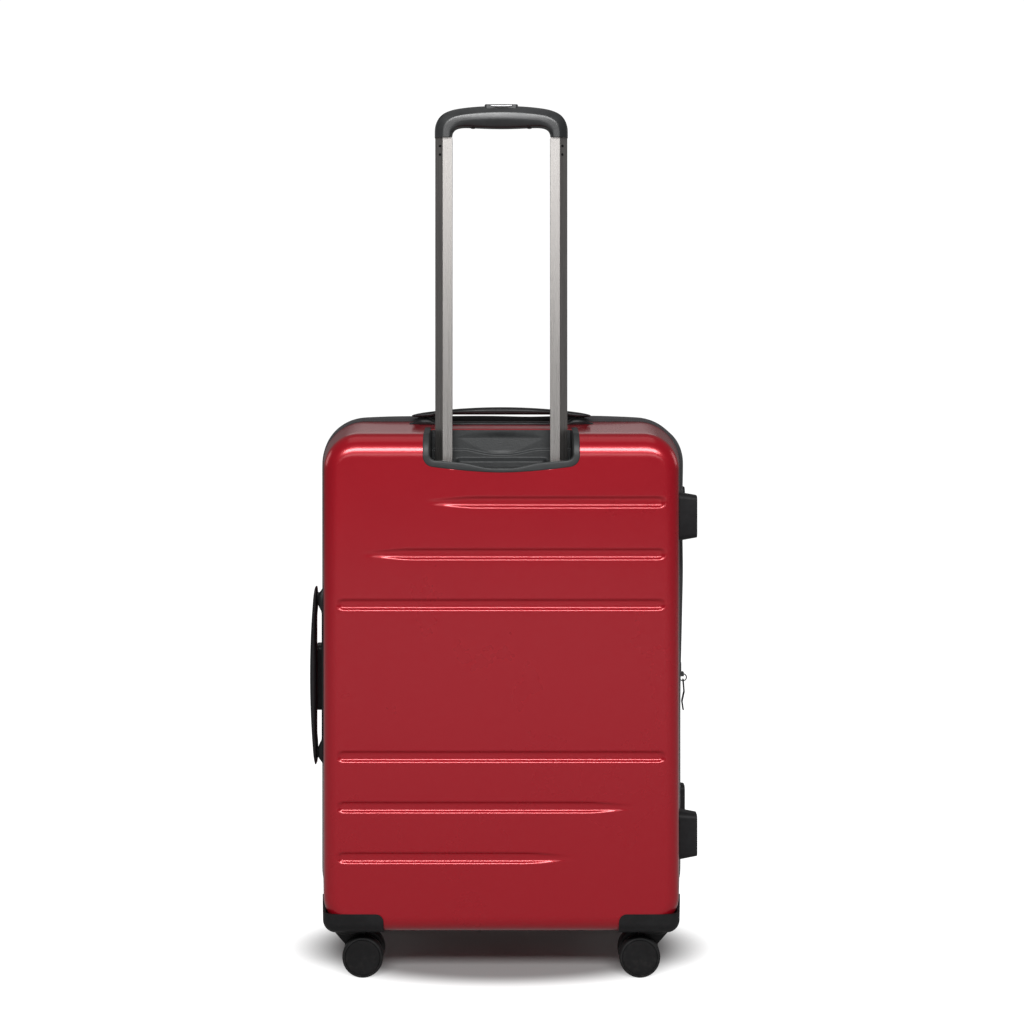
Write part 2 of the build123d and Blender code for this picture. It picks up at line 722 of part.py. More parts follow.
strap_y = -edge_y - strap_inset
with BuildPart() as packing_straps:
    with BuildSketch(Plane.XZ.offset(-strap_y)):
        for turn in (-strap_turn, strap_turn):
            with Locations(Location((0, case_middle), turn)):
                Rectangle(2 * case_width, strap_width)
        with Locations((0, case_middle)):
            Rectangle(buckle_size[0] + 2 * gap, buckle_size[2] + 2 * gap, mode=Mode.SUBTRACT)
    extrude(amount=strap_thick / 2, both=True)
    add(shell_block(-wall - lining_gap - lining_thick - gap), mode=Mode.INTERSECT)
save(packing_straps, "packing_straps")

with BuildPart() as strap_buckle:
    with Locations((0, strap_y, case_middle)):
        Box(*buckle_size)
    fillet(strap_buckle.edges().filter_by(Axis.Y), 8)
    chamfer(strap_buckle.faces().sort_by(Axis.Y)[-1].edges(), 1)
save(strap_buckle, "strap_buckle")

# ============================ combination lock ============================
with BuildPart() as lock_body:
    with BuildSketch(Plane.YZ.offset(-lock_face)):
        with Locations((lock_y, lock_height)):
            RectangleRounded(lock_size[0], lock_size[1], 5)
    extrude(amount=14)
    fillet(lock_body.faces().sort_by(Axis.X)[0].edges(), 1.5)
    add(shell_block(touch), mode=Mode.SUBTRACT)
    for level in dial_heights:
        box((-lock_face - past, 10 - half_width), (dial_y - dial_radius - gap, dial_y + dial_radius + gap),
            (level - dial_width / 2 - gap, level + dial_width / 2 + gap), mode=Mode.SUBTRACT)
    with BuildSketch(Plane.XY.offset(dial_heights[0] - dial_width)):
        with Locations((-dial_x, dial_y)):
            Circle(lock_pin_radius)
    extrude(amount=dial_heights[-1] - dial_heights[0] + 2 * dial_width)
    with Locations((-lock_face, dial_y, lock_button_height)):
        Box(2 * past, lock_button_size[0] + 2 * gap, lock_button_size[1] + 2 * gap, mode=Mode.SUBTRACT)
    tab_x = lock_lip + gap - lock_face
    box((tab_x - gap, tab_x + tab_thick + gap), (lock_front - tab_bite - 2 * gap, 0),
        (lock_height - lock_size[1], lock_height + lock_size[1]), mode=Mode.SUBTRACT)
save(lock_body, "lock_body")

for number, level in enumerate(dial_heights, 1):
    with BuildPart() as dial:
        with Locations((-dial_x, dial_y, level)):
            Cylinder(dial_radius, dial_width)
            with PolarLocations(dial_radius, 10):
                Cylinder(0.35, dial_width, mode=Mode.SUBTRACT)
            Cylinder(lock_pin_radius + running, dial_width, mode=Mode.SUBTRACT)
    save(dial, f"lock_dial_{number}")

with BuildPart() as lock_button:
    box((-lock_face - 1.5, -lock_face + 2.5),
        (dial_y - lock_button_size[0] / 2, dial_y + lock_button_size[0] / 2),
        (lock_button_height - lock_button_size[1] / 2, lock_button_height + lock_button_size[1] / 2))
    fillet(lock_button.faces().sort_by(Axis.X)[0].edges(), 1)
save(lock_button, "lock_button")

# ============================ zip sliders and the ring pull ============================
for level, place in zip(main_pull_heights, ("lower", "upper")):
    with BuildPart() as pull:
        box((-band_x - gap, -band_x - gap - slider_depth),
            (-zip_y - slider_width / 2, -zip_y + slider_width / 2), (level - 5, level + 5))
        fillet(pull.edges().filter_by(Axis.X), 1.5)
        box((tab_x, tab_x + tab_thick), (lock_front - tab_bite, -zip_y),
            (level - tab_height / 2, level + tab_height / 2))
    save(pull, f"main_zip_pull_{place}")

with BuildPart() as expansion_slider:
    slider_face = band_x + gap + slider_depth
    box((band_x + gap, slider_face), (zip_y - slider_width / 2, zip_y + slider_width / 2),
        (bail_height + 2.5, bail_height + 16.5))
    fillet(expansion_slider.edges().filter_by(Axis.X), 1.5)
    for offset_y in (-2.6, 2.6):
        box((slider_face - 1, bail_x + bail_radius), (zip_y + offset_y - 0.6, zip_y + offset_y + 0.6),
            (bail_height - bail_radius, bail_height + 4.5))
    with BuildSketch(Plane.XZ.offset(-zip_y)):
        with Locations((bail_x, bail_height)):
            Circle(bail_radius)
    extrude(amount=2.8, both=True)
save(expansion_slider, "expansion_slider")

ring_height = bail_height - (ring_radius - ring_wire - bail_radius - gap)
with BuildPart() as pull_ring:
    with Locations(Location((bail_x, zip_y, ring_height), (90, 0, 0))):
        Torus(ring_radius, ring_wire)
save(pull_ring, "pull_ring")

ring_bottom = ring_height - ring_radius
strap_end = bail_height - pull_strap_length
with BuildPart() as pull_strap:
    with BuildSketch(Plane.XZ.offset(-zip_y)):
        with BuildLine():
            Polyline((bail_x - 0.8, ring_bottom + 2.2), (bail_x + 0.8, ring_bottom + 2.2),
                     (bail_x + 2, ring_bottom - 13), (bail_x - 0.6, ring_bottom - 25),
                     (bail_x + 1, strap_end), (bail_x - 0.6, strap_end),
                     (bail_x - 2.2, ring_bottom - 25), (bail_x + 0.4, ring_bottom - 13), close=True)
        make_face()
    extrude(amount=3, both=True)
    with BuildSketch(Plane.YZ.offset(bail_x)):
        with Locations((zip_y, ring_bottom)):
            Circle(ring_wire + gap)
    extrude(amount=2, both=True, mode=Mode.SUBTRACT)
save(pull_strap, "pull_strap")
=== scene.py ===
from math import copysign, cos, hypot, pi, radians, sin, sqrt, tan

import bmesh
import bpy
from mathutils import Matrix, Vector, noise


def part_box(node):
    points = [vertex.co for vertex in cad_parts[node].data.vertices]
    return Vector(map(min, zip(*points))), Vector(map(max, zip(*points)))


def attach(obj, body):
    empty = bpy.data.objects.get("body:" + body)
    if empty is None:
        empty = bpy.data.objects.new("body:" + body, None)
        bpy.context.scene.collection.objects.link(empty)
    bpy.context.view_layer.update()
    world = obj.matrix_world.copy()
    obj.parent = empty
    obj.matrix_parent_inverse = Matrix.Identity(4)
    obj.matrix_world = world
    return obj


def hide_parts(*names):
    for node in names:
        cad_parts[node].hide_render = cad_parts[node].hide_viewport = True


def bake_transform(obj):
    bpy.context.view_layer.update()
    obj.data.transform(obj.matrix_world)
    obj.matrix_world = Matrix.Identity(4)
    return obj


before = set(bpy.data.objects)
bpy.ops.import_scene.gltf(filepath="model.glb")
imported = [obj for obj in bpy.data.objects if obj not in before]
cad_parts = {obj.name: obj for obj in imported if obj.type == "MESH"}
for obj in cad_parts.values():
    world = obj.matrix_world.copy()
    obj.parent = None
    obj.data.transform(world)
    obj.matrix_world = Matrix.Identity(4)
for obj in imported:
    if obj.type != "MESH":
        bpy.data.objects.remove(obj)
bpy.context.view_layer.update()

MM = 0.001
TINY = 1e-6                 # points nearer than this, in metres, are one point

# ------------------------------------------------------------------ the case's own sizes, in metres
shell_low, shell_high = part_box("back_shell")
HALF_WIDTH, EDGE_Y, FACE_Y = shell_high.x, shell_high.y, shell_low.y
MIDDLE_Z = (shell_low.z + shell_high.z) / 2
HALF_HEIGHT = (shell_high.z - shell_low.z) / 2
DEPTH = EDGE_Y - FACE_Y
CORNER = 52 * MM            # the outline's corner radius, at the shell's open edge
DRAFT = radians(6.2)        # of the shell's four walls
SIDE_ROUND, TOP_ROUND, BOTTOM_ROUND = 18 * MM, 27 * MM, 21 * MM
WALL = 2.5 * MM
CORE_X, CORE_Z = HALF_WIDTH - CORNER, HALF_HEIGHT - CORNER
FACE_CORNER = CORNER - DEPTH * tan(DRAFT)

GROOVE_HALF, GROOVE_DEEP = 7.4 * MM, 2.6 * MM
# in mm: height, left end, right end, and how far each end takes to fade out (0 is a round end)
GROOVES = (
    (558, -88, 190, 60, 0),
    (498, -162, 190, 60, 0),
    (439.5, -190, 190, 0, 0),
    (264, -190, 190, 0, 0),
    (205.5, -190, 158, 0, 60),
    (147, -190, 87, 0, 60),
)


# ================================================================== shader groups
def shader_group(name, inputs, outputs):
    """An empty shader node group with named float inputs, and its two end nodes."""
    tree = bpy.data.node_groups.new(name, "ShaderNodeTree")
    for label, value in inputs.items():
        tree.interface.new_socket(label, in_out="INPUT", socket_type="NodeSocketFloat").default_value = value
    for label in outputs:
        tree.interface.new_socket(label, in_out="OUTPUT", socket_type="NodeSocketFloat")
    return tree, tree.nodes.new("NodeGroupInput"), tree.nodes.new("NodeGroupOutput")


def noise_node(tree, vector, scale, detail=4.0, roughness=0.55):
    node = tree.nodes.new("ShaderNodeTexNoise")
    node.inputs["Detail"].default_value = detail
    node.inputs["Roughness"].default_value = roughness
    tree.links.new(vector, node.inputs["Vector"])
    if isinstance(scale, (int, float)):
        node.inputs["Scale"].default_value = scale
    else:
        tree.links.new(scale, node.inputs["Scale"])
    return node.outputs["Fac"]


def math_node(tree, kind, a, b=None, clamp=False):
    node = tree.nodes.new("ShaderNodeMath")
    node.operation, node.use_clamp = kind, clamp
    for socket, value in zip(node.inputs, (a, b)):
        if value is None:
            continue
        if isinstance(value, (int, float)):
            socket.default_value = value
        else:
            tree.links.new(value, socket)
    return node.outputs[0]


def range_node(tree, value, low, high, to_low, to_high):
    node = tree.nodes.new("ShaderNodeMapRange")
    node.interpolation_type = "SMOOTHSTEP"
    labels = ("Value", "From Min", "From Max", "To Min", "To Max")
    for label, item in zip(labels, (value, low, high, to_low, to_high)):
        if isinstance(item, (int, float)):
            node.inputs[label].default_value = item
        else:
            tree.links.new(item, node.inputs[label])
    return node.outputs["Result"]


def object_coordinates(tree):
    return tree.nodes.new("ShaderNodeTexCoord").outputs["Object"]


def make_grain_group():
    """Moulded grain: small rounded cells over finer noise, as a height from 0 to 1."""
    tree, given, out = shader_group("moulded_grain", {"Scale": 1400.0, "Fine": 0.4}, ["Height"])
    place = object_coordinates(tree)
    cells = tree.nodes.new("ShaderNodeTexVoronoi")
    cells.feature = "SMOOTH_F1"
    tree.links.new(place, cells.inputs["Vector"])
    tree.links.new(given.outputs["Scale"], cells.inputs["Scale"])
    fine = noise_node(tree, place, math_node(tree, "MULTIPLY", given.outputs["Scale"], 2.3), 2.0)
    flecks = math_node(tree, "MULTIPLY", fine, given.outputs["Fine"])
    mixed = math_node(tree, "ADD", cells.outputs["Distance"], flecks)
    tree.links.new(mixed, out.inputs["Height"])
    return tree


def make_handling_group():
    """Handling marks: a roughness that wanders between two values, with sparse rubbed spots."""
    tree, given, out = shader_group("handling", {"Low": 0.3, "High": 0.4, "Scale": 9.0}, ["Roughness", "Mask"])
    place = object_coordinates(tree)
    broad = noise_node(tree, place, given.outputs["Scale"], 5.0, 0.6)
    fine = noise_node(tree, place, math_node(tree, "MULTIPLY", given.outputs["Scale"], 14.0), 3.0)
    spots = math_node(tree, "MULTIPLY", broad, math_node(tree, "ADD", fine, 0.5))
    mask = range_node(tree, spots, 0.38, 0.66, 0.0, 1.0)
    rough = range_node(tree, broad, 0.3, 0.7, given.outputs["Low"], given.outputs["High"])
    tree.links.new(rough, out.inputs["Roughness"])
    tree.links.new(mask, out.inputs["Mask"])
    return tree


def make_weave_group():
    """Plain weave: two crossing sets of threads on the two axes that face the surface; Mask is high on the raised
    threads, for painted highlight on them and painted shade between them, mixed with uneven yarn tone.
    """
    tree, given, out = shader_group("weave", {"Threads": 1500.0}, ["Height", "Mask"])
    place = object_coordinates(tree)
    split = tree.nodes.new("ShaderNodeSeparateXYZ")
    tree.links.new(place, split.inputs[0])
    waves = []
    for a, b in (("X", "Z"), ("Z", "Y"), ("Y", "X")):
        first = math_node(tree, "SINE", math_node(tree, "MULTIPLY", split.outputs[a], given.outputs["Threads"]))
        second = math_node(tree, "SINE", math_node(tree, "MULTIPLY", split.outputs[b], given.outputs["Threads"]))
        waves.append(math_node(tree, "MULTIPLY", first, second))
    total = math_node(tree, "ADD", math_node(tree, "ADD", waves[0], waves[1]), waves[2])
    height = range_node(tree, total, -1.2, 1.2, 0.0, 1.0)
    tree.links.new(height, out.inputs["Height"])
    slub = noise_node(tree, place, 60.0, 3.0)
    # painted highlight and shade: high on the raised threads, low in the hollows between them, varied by real
    # uneven yarn tone (slub)
    crest_highlight_and_yarn_tone = math_node(tree, "MULTIPLY", height, math_node(tree, "ADD", slub, 0.4))
    tree.links.new(crest_highlight_and_yarn_tone, out.inputs["Mask"])
    return tree


def make_drawn_group():
    """Drawn metal: long fine streaks up the tube, as a height and a mask."""
    tree, given, out = shader_group("drawn_metal", {"Across": 2600.0, "Along": 10.0}, ["Height", "Mask"])
    split, join = tree.nodes.new("ShaderNodeSeparateXYZ"), tree.nodes.new("ShaderNodeCombineXYZ")
    tree.links.new(object_coordinates(tree), split.inputs[0])
    for axis, scale in (("X", "Across"), ("Y", "Across"), ("Z", "Along")):
        stretched = math_node(tree, "MULTIPLY", split.outputs[axis], given.outputs[scale])
        tree.links.new(stretched, join.inputs[axis])
    streaks = noise_node(tree, join.outputs[0], 1.0, 3.0)
    tree.links.new(streaks, out.inputs["Height"])
    tree.links.new(range_node(tree, streaks, 0.35, 0.65, 0.0, 1.0), out.inputs["Mask"])
    return tree


def make_floor_dust_group():
    """Dust and scuffs: strongest near the floor, gone by the given height."""
    tree, given, out = shader_group("floor_dust", {"Height": 0.09}, ["Mask"])
    place = object_coordinates(tree)
    split = tree.nodes.new("ShaderNodeSeparateXYZ")
    tree.links.new(place, split.inputs[0])
    low = range_node(tree, split.outputs["Z"], 0.0, given.outputs["Height"], 1.0, 0.0)
    spots = range_node(tree, noise_node(tree, place, 180.0, 5.0, 0.7), 0.45, 0.75, 0.0, 1.0)
    tree.links.new(math_node(tree, "MULTIPLY", low, spots, clamp=True), out.inputs["Mask"])
    return tree


GRAIN, HANDLING, WEAVE = make_grain_group(), make_handling_group(), make_weave_group()
DRAWN, FLOOR_DUST = make_drawn_group(), make_floor_dust_group()


# ================================================================== materials
class Finish:
    """One material: a Principled shader with helpers that wire the shared groups into it."""

    def __init__(self, name, colour, roughness=0.5, metallic=0.0, **sockets):
        self.material = bpy.data.materials.new(name)
        self.material.use_nodes = True
        self.tree = self.material.node_tree
        self.shader = self.tree.nodes["Principled BSDF"]
        self.colour = (*colour, 1.0)
        self.shader.inputs["Base Color"].default_value = self.colour
        self.shader.inputs["Roughness"].default_value = roughness
        self.shader.inputs["Metallic"].default_value = metallic
        for label, value in sockets.items():
            self.shader.inputs[label.replace("_", " ")].default_value = value

    def group(self, tree, **values):
        node = self.tree.nodes.new("ShaderNodeGroup")
        node.node_tree = tree
        for label, value in values.items():
            node.inputs[label].default_value = value
        return node.outputs

    def bump(self, height, strength, distance):
        node = self.tree.nodes.new("ShaderNodeBump")
        node.inputs["Strength"].default_value = strength
        node.inputs["Distance"].default_value = distance
        self.tree.links.new(height, node.inputs["Height"])
        last = self.shader.inputs["Normal"]
        if last.is_linked:
            self.tree.links.new(last.links[0].from_socket, node.inputs["Normal"])
        self.tree.links.new(node.outputs["Normal"], last)
        return self

    def rough(self, value):
        self.tree.links.new(value, self.shader.inputs["Roughness"])
        return self

    def tint(self, mask, colour, amount=1.0):
        """Mixes another colour into the base colour where mask is high."""
        node = self.tree.nodes.new("ShaderNodeMix")
        node.data_type = "RGBA"
        factor = math_node(self.tree, "MULTIPLY", mask, amount, clamp=True)
        self.tree.links.new(factor, node.inputs["Factor"])
        base = self.shader.inputs["Base Color"]
        sockets = [s for s in node.inputs if s.type == "RGBA"]
        sockets[1].default_value = (*colour, 1.0)
        if base.is_linked:
            self.tree.links.new(base.links[0].from_socket, sockets[0])
        else:
            sockets[0].default_value = self.colour
        result = [s for s in node.outputs if s.type == "RGBA"][0]
        self.tree.links.new(result, base)
        return self


def shell_finish():
    """Satin red moulded shell: fine pearl grain under a thin clear skin."""
    f = Finish("shell_red", (0.42, 0.003, 0.013), metallic=0.35, Coat_Weight=1.0, Coat_Roughness=0.19,
               Specular_IOR_Level=0.1)
    grain = f.group(GRAIN, Scale=1500.0, Fine=0.5)
    marks = f.group(HANDLING, Low=0.26, High=0.32, Scale=7.0)
    f.rough(marks["Roughness"]).bump(grain["Height"], 0.06, 0.0002)
    f.tint(grain["Height"], (0.40, 0.007, 0.020), 0.35)
    return f.tint(f.group(FLOOR_DUST, Height=0.12)["Mask"], (0.25, 0.10, 0.09), 0.12)


def plastic_finish(name, colour, low, high, grain_scale, grain_strength, dusty=0.0, gloss=0.3):
    f = Finish(name, colour, Specular_IOR_Level=gloss)
    marks = f.group(HANDLING, Low=low, High=high, Scale=14.0)
    grain = f.group(GRAIN, Scale=grain_scale, Fine=0.4)
    f.rough(marks["Roughness"]).bump(grain["Height"], grain_strength, 0.0003)
    f.tint(marks["Mask"], tuple(min(1.0, c * 1.7 + 0.006) for c in colour), 0.35)
    if dusty:
        f.tint(f.group(FLOOR_DUST, Height=0.05)["Mask"], (0.16, 0.145, 0.13), dusty)
    return f


def cloth_finish(name, colour, threads, strength, light=1.8):
    f = Finish(name, colour, roughness=0.88, Sheen_Weight=0.25, Sheen_Roughness=0.5)
    weave = f.group(WEAVE, Threads=threads)
    f.bump(weave["Height"], strength, 0.0003)
    # painted highlight and shade: the weave's raised threads are tinted lighter by the factor light and the
    # hollows between them stay darker; the slub noise in the mask is real uneven yarn tone
    f.tint(weave["Mask"], tuple(min(1.0, c * light) for c in colour), 0.7)
    soiled = f.group(HANDLING, Low=0.3, High=0.4, Scale=22.0)["Mask"]
    return f.tint(soiled, tuple(c * 0.6 for c in colour), 0.25)


def metal_finish(name, colour, low, high, streak=0.25):
    f = Finish(name, colour, metallic=1.0)
    drawn = f.group(DRAWN)
    f.rough(range_node(f.tree, drawn["Height"], 0.3, 0.7, low, high))
    f.tint(drawn["Mask"], tuple(c * 0.82 for c in colour), streak)
    return f.bump(drawn["Height"], 0.05, 0.0001)


SHELL = shell_finish()
TRIM = plastic_finish("black_trim", (0.010, 0.010, 0.011), 0.36, 0.5, 1100.0, 0.28)
CUP = plastic_finish("cup_plastic", (0.024, 0.026, 0.027), 0.42, 0.56, 800.0, 0.45, gloss=0.5)
GRIP = plastic_finish("grip_plastic", (0.018, 0.019, 0.020), 0.26, 0.38, 1500.0, 0.12, gloss=0.8)
HOUSING = plastic_finish("housing_plastic", (0.008, 0.008, 0.0085), 0.38, 0.52, 900.0, 0.3, dusty=0.12)
TYRE = plastic_finish("wheel_rubber", (0.009, 0.009, 0.0095), 0.5, 0.66, 700.0, 0.35, dusty=0.2)
CAP = plastic_finish("wheel_cap", (0.008, 0.008, 0.0085), 0.3, 0.42, 1300.0, 0.12, dusty=0.1)
TUBE = metal_finish("tube_aluminium", (0.47, 0.45, 0.435), 0.26, 0.38)
PLAIN_METAL = metal_finish("plain_aluminium", (0.6, 0.6, 0.6), 0.3, 0.45)
STEEL = metal_finish("pin_steel", (0.5, 0.5, 0.5), 0.2, 0.32)
RIVET = metal_finish("dark_rivet", (0.045, 0.045, 0.047), 0.3, 0.42)
ZIP_METAL = metal_finish("zip_metal", (0.10, 0.10, 0.105), 0.22, 0.34)
SILVER = metal_finish("silver_accent", (0.24, 0.24, 0.245), 0.3, 0.4)
TAPE = cloth_finish("band_tape", (0.035, 0.035, 0.037), 2200.0, 0.6)
GUSSET = cloth_finish("gusset_cloth", (0.018, 0.018, 0.02), 1900.0, 0.6)
LINING = cloth_finish("lining_cloth", (0.11, 0.112, 0.118), 2600.0, 0.4)
WEBBING = cloth_finish("strap_webbing", (0.022, 0.022, 0.024), 1500.0, 0.9)
TEETH = plastic_finish("zip_teeth", (0.03, 0.03, 0.032), 0.25, 0.4, 1500.0, 0.1)
PULL = plastic_finish("pull_rubber", (0.03, 0.03, 0.031), 0.45, 0.6, 1200.0, 0.2)


# ================================================================== mesh helpers
def finish_piece(bm, name, finish, body, replaced=(), merge=0.0, angle=35.0, outward=True):
    """Turns a bmesh into a finished piece that rides on a body and stands for its CAD nodes."""
    if merge:
        bmesh.ops.remove_doubles(bm, verts=bm.verts, dist=merge)
    if outward:
        bmesh.ops.recalc_face_normals(bm, faces=bm.faces)
    mesh = bpy.data.meshes.new(name)
    bm.to_mesh(mesh)
    bm.free()
    piece = bpy.data.objects.new(name, mesh)
    bpy.context.scene.collection.objects.link(piece)
    mesh.materials.append(finish.material)
    mesh.shade_smooth()
    mesh.set_sharp_from_angle(angle=radians(angle))
    if body:
        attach(piece, body)
    if replaced:
        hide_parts(*replaced)
    return piece


def modifier(piece, kind, name, **settings):
    m = piece.modifiers.new(name, kind)
    for key, value in settings.items():
        setattr(m, key, value)
    return m


def mapped_grid(columns, rows, place):
    """A grid with the given numbers of faces whose vertex (i, j) is moved to place(i, j)."""
    bm = bmesh.new()
    bmesh.ops.create_grid(bm, x_segments=columns, y_segments=rows, size=0.5)
    for v in bm.verts:
        i, j = round((v.co.x + 0.5) * columns), round((v.co.y + 0.5) * rows)
        v.co = place(i, j)
    return bm


def smoothstep(value, low=0.0, high=1.0):
    t = min(1.0, max(0.0, (value - low) / (high - low)))
    return t * t * (3 - 2 * t)


def signed_power(value, power):
    """A power of the value's size, with its sign kept: under 1 it squares off a round section."""
    return abs(value) ** power * (1 if value > 0 else -1)


# ================================================================== shells
FLAT_RINGS, ROUND_RINGS, WALL_RINGS = 9, 12, 9
RINGS = FLAT_RINGS + ROUND_RINGS + WALL_RINGS


def edge_round(nz):
    """The radius round the outer face's edge, for a wall whose outward direction has this Z share."""
    end = TOP_ROUND if nz > 0 else BOTTOM_ROUND
    return SIDE_ROUND * (1 - nz * nz) + end * nz * nz


def edge_profile(ring, radius, grow=0.0, depth=DEPTH):
    """How far out from the core and how deep ring number `ring` lies, for an edge of this radius."""
    turn, slope = pi / 2 - DRAFT, tan(DRAFT)
    flat_end = CORNER - depth * slope + slope * radius - radius * sqrt(1 + slope * slope)
    round_out, round_deep = flat_end + radius * sin(turn), radius * (1 - cos(turn))
    if ring <= FLAT_RINGS:
        out, deep, angle = flat_end * ring / FLAT_RINGS, 0.0, 0.0
    elif ring <= FLAT_RINGS + ROUND_RINGS:
        angle = turn * (ring - FLAT_RINGS) / ROUND_RINGS
        out, deep = flat_end + radius * sin(angle), radius * (1 - cos(angle))
    else:
        share, angle = (ring - FLAT_RINGS - ROUND_RINGS) / WALL_RINGS, turn
        deep = round_deep + (depth - round_deep) * share
        out = round_out + (deep - round_deep) * slope
    return out + grow * sin(angle), deep - grow * cos(angle)


def groove_sink(x, z):
    """How deep the grooves press the outer face in at this place."""
    deepest = 0.0
    for height, left, right, fade_left, fade_right in GROOVES:
        centre, low, high = height * MM, left * MM, right * MM
        if abs(z - centre) > GROOVE_HALF:
            continue
        fade = 1.0
        if fade_left:
            fade = smoothstep(x, low, low + fade_left * MM)
        if fade_right:
            fade = min(fade, smoothstep(-x, -high, -high + fade_right * MM))
        half = GROOVE_HALF * (0.45 + 0.55 * fade)
        along = min(max(x, low + half), high - half)
        share = hypot(x - along, z - centre) / half
        deepest = max(deepest, GROOVE_DEEP * fade * (1 - smoothstep(share, 0.42, 1.0)))
    return deepest


def core_lines(half, spacing, dense=(), offsets=()):
    """Line positions from -half to half: dense ones round the given centres, the rest evenly spaced."""
    marks = sorted({-half, half} | {c + o for c in dense for o in offsets if -half < c + o < half})
    lines = [marks[0]]
    for a, b in zip(marks, marks[1:]):
        steps = max(1, round((b - a) / spacing))
        lines += [a + (b - a) * k / steps for k in range(1, steps + 1)]
    return lines


GROOVE_LINES = [o * MM for o in (-8.2, -7.2, -6.4, -5.6, -4.8, -4, -3.2, -1.6,
                                 1.6, 3.2, 4, 4.8, 5.6, 6.4, 7.2, 8.2)]


def shell_grid(grow=0.0, depth=DEPTH, sink=groove_sink, rounding=edge_round, coarse=False):
    """The back shell's outer surface as one folded grid: face, rounded edge and four walls."""
    if coarse:
        xs, zs = core_lines(CORE_X, 16 * MM), core_lines(CORE_Z, 16 * MM)
    else:
        xs = core_lines(CORE_X, 5 * MM)
        zs = core_lines(CORE_Z, 8 * MM, [g[0] * MM - MIDDLE_Z for g in GROOVES], GROOVE_LINES)

    def along(i, lines):
        """Grid index to (position on the core, ring number, side)."""
        last = len(lines) - 1
        if i < RINGS:
            return lines[0], RINGS - i, -1
        if i > RINGS + last:
            return lines[-1], i - RINGS - last, 1
        return lines[i - RINGS], 0, 0

    def place(i, j):
        x, ring_x, side_x = along(i, xs)
        z, ring_z, side_z = along(j, zs)
        ring = max(ring_x, ring_z)
        if ring_x and ring_z:
            angle = pi / 4 * (ring_z / ring_x if ring_x >= ring_z else 2 - ring_x / ring_z)
            nx, nz = side_x * cos(angle), side_z * sin(angle)
        else:
            nx, nz = float(side_x), float(side_z)
        out, deep = edge_profile(ring, rounding(nz), grow, depth)
        px, pz = x + nx * out, MIDDLE_Z + z + nz * out
        return Vector((px, EDGE_Y - depth + deep + (sink(px, pz) if deep < 4 * MM else 0.0), pz))

    return mapped_grid(len(xs) - 1 + 2 * RINGS, len(zs) - 1 + 2 * RINGS, place)


def cut_box(bm, low, high):
    """Cuts an axis-aligned box out of a surface, with clean edges."""
    margin = Vector((30 * MM,) * 3)
    near_low, near_high = low - margin, high + margin
    for axis in range(3):
        for corner in (low, high):
            normal = Vector([float(k == axis) for k in range(3)])
            faces = [f for f in bm.faces
                     if all(near_low[k] < f.calc_center_median()[k] < near_high[k] for k in range(3))]
            edges = {e for f in faces for e in f.edges}
            verts = {v for f in faces for v in f.verts}
            bmesh.ops.bisect_plane(bm, geom=faces + list(edges) + list(verts), dist=1e-7,
                                   plane_co=corner, plane_no=normal)
    inside = [f for f in bm.faces
              if all(low[k] < f.calc_center_median()[k] < high[k] for k in range(3))]
    bmesh.ops.delete(bm, geom=inside, context="FACES")


HOUSING_GAP = 0.3 * MM
HOUSING_LAP = 3.2 * MM      # the shell runs this far under the housing's skin
PAST = 5 * MM               # how far a cut runs out beyond the surface
POCKET_HALF = 82 * MM
CUP_LOW, CUP_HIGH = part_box("trolley_cup")
# half width of each step of the cup's window in the shell, and its height over the cup's lowest point
CUP_WINDOW = ((60 * MM, 4 * MM), (POCKET_HALF + 2.8 * MM, 12 * MM))


def shell_piece(end, name):
    """One shell: grooves, housing cut-outs, the cup's window at the back, and its wall."""
    bm = shell_grid()
    for side in ("left", "right"):
        low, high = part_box(f"wheel_housing_back_{side}")
        inner, outer = sorted((low.x, high.x), key=abs)
        edges = sorted((inner + copysign(HOUSING_LAP, inner), copysign(HALF_WIDTH + PAST, outer)))
        cut_box(bm, Vector((edges[0], low.y - PAST, 0)),
                Vector((edges[1], high.y + HOUSING_GAP, high.z - HOUSING_LAP)))
    if end == "back":
        for window, sill in CUP_WINDOW:
            cut_box(bm, Vector((-window, FACE_Y - PAST, CUP_LOW.z + sill)),
                    Vector((window, CUP_HIGH.y, shell_high.z + 20 * MM)))
    else:
        bmesh.ops.transform(bm, matrix=Matrix.Diagonal((1, -1, 1, 1)), verts=bm.verts)
    piece = finish_piece(bm, name, SHELL, f"{end}_case", [f"{end}_shell"], angle=60)
    centre = Vector((0, 0, MIDDLE_Z))
    face = max(piece.data.polygons, key=lambda p: abs(p.center.y))
    if (face.normal.dot(face.center - centre)) < 0:
        piece.data.flip_normals()
    modifier(piece, "SOLIDIFY", "wall", thickness=WALL, offset=-1.0)
    return piece


shell_piece("back", "red_shell_back")
shell_piece("front", "red_shell_front")


# ================================================================== shared makers
def cad_copy(nodes, name, finish, body, width, segments=3, angle=28.0):
    """CAD nodes' own shape as one mesh, its loose triangles joined and its edges rounded off."""
    bm = bmesh.new()
    for node in nodes:
        bm.from_mesh(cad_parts[node].data)
    bmesh.ops.remove_doubles(bm, verts=bm.verts, dist=2e-6)
    bmesh.ops.dissolve_limit(bm, angle_limit=radians(0.6), verts=bm.verts, edges=bm.edges,
                             use_dissolve_boundaries=False)
    piece = finish_piece(bm, name, finish, body, nodes, angle=angle, outward=False)
    modifier(piece, "BEVEL", "soft_edges", width=width, segments=segments, limit_method="ANGLE",
             angle_limit=radians(angle), harden_normals=True)
    return piece


def closed_tube(columns, rows, place, capped=True):
    """A tube-like skin: rows run round the section and close up, columns run along it."""
    bm = mapped_grid(columns, rows, lambda i, j: place(i, j % rows))
    bmesh.ops.remove_doubles(bm, verts=bm.verts, dist=TINY)
    if capped:
        open_edges = [e for e in bm.edges if e.is_boundary]
        bmesh.ops.holes_fill(bm, edges=open_edges, sides=0)
    return bm


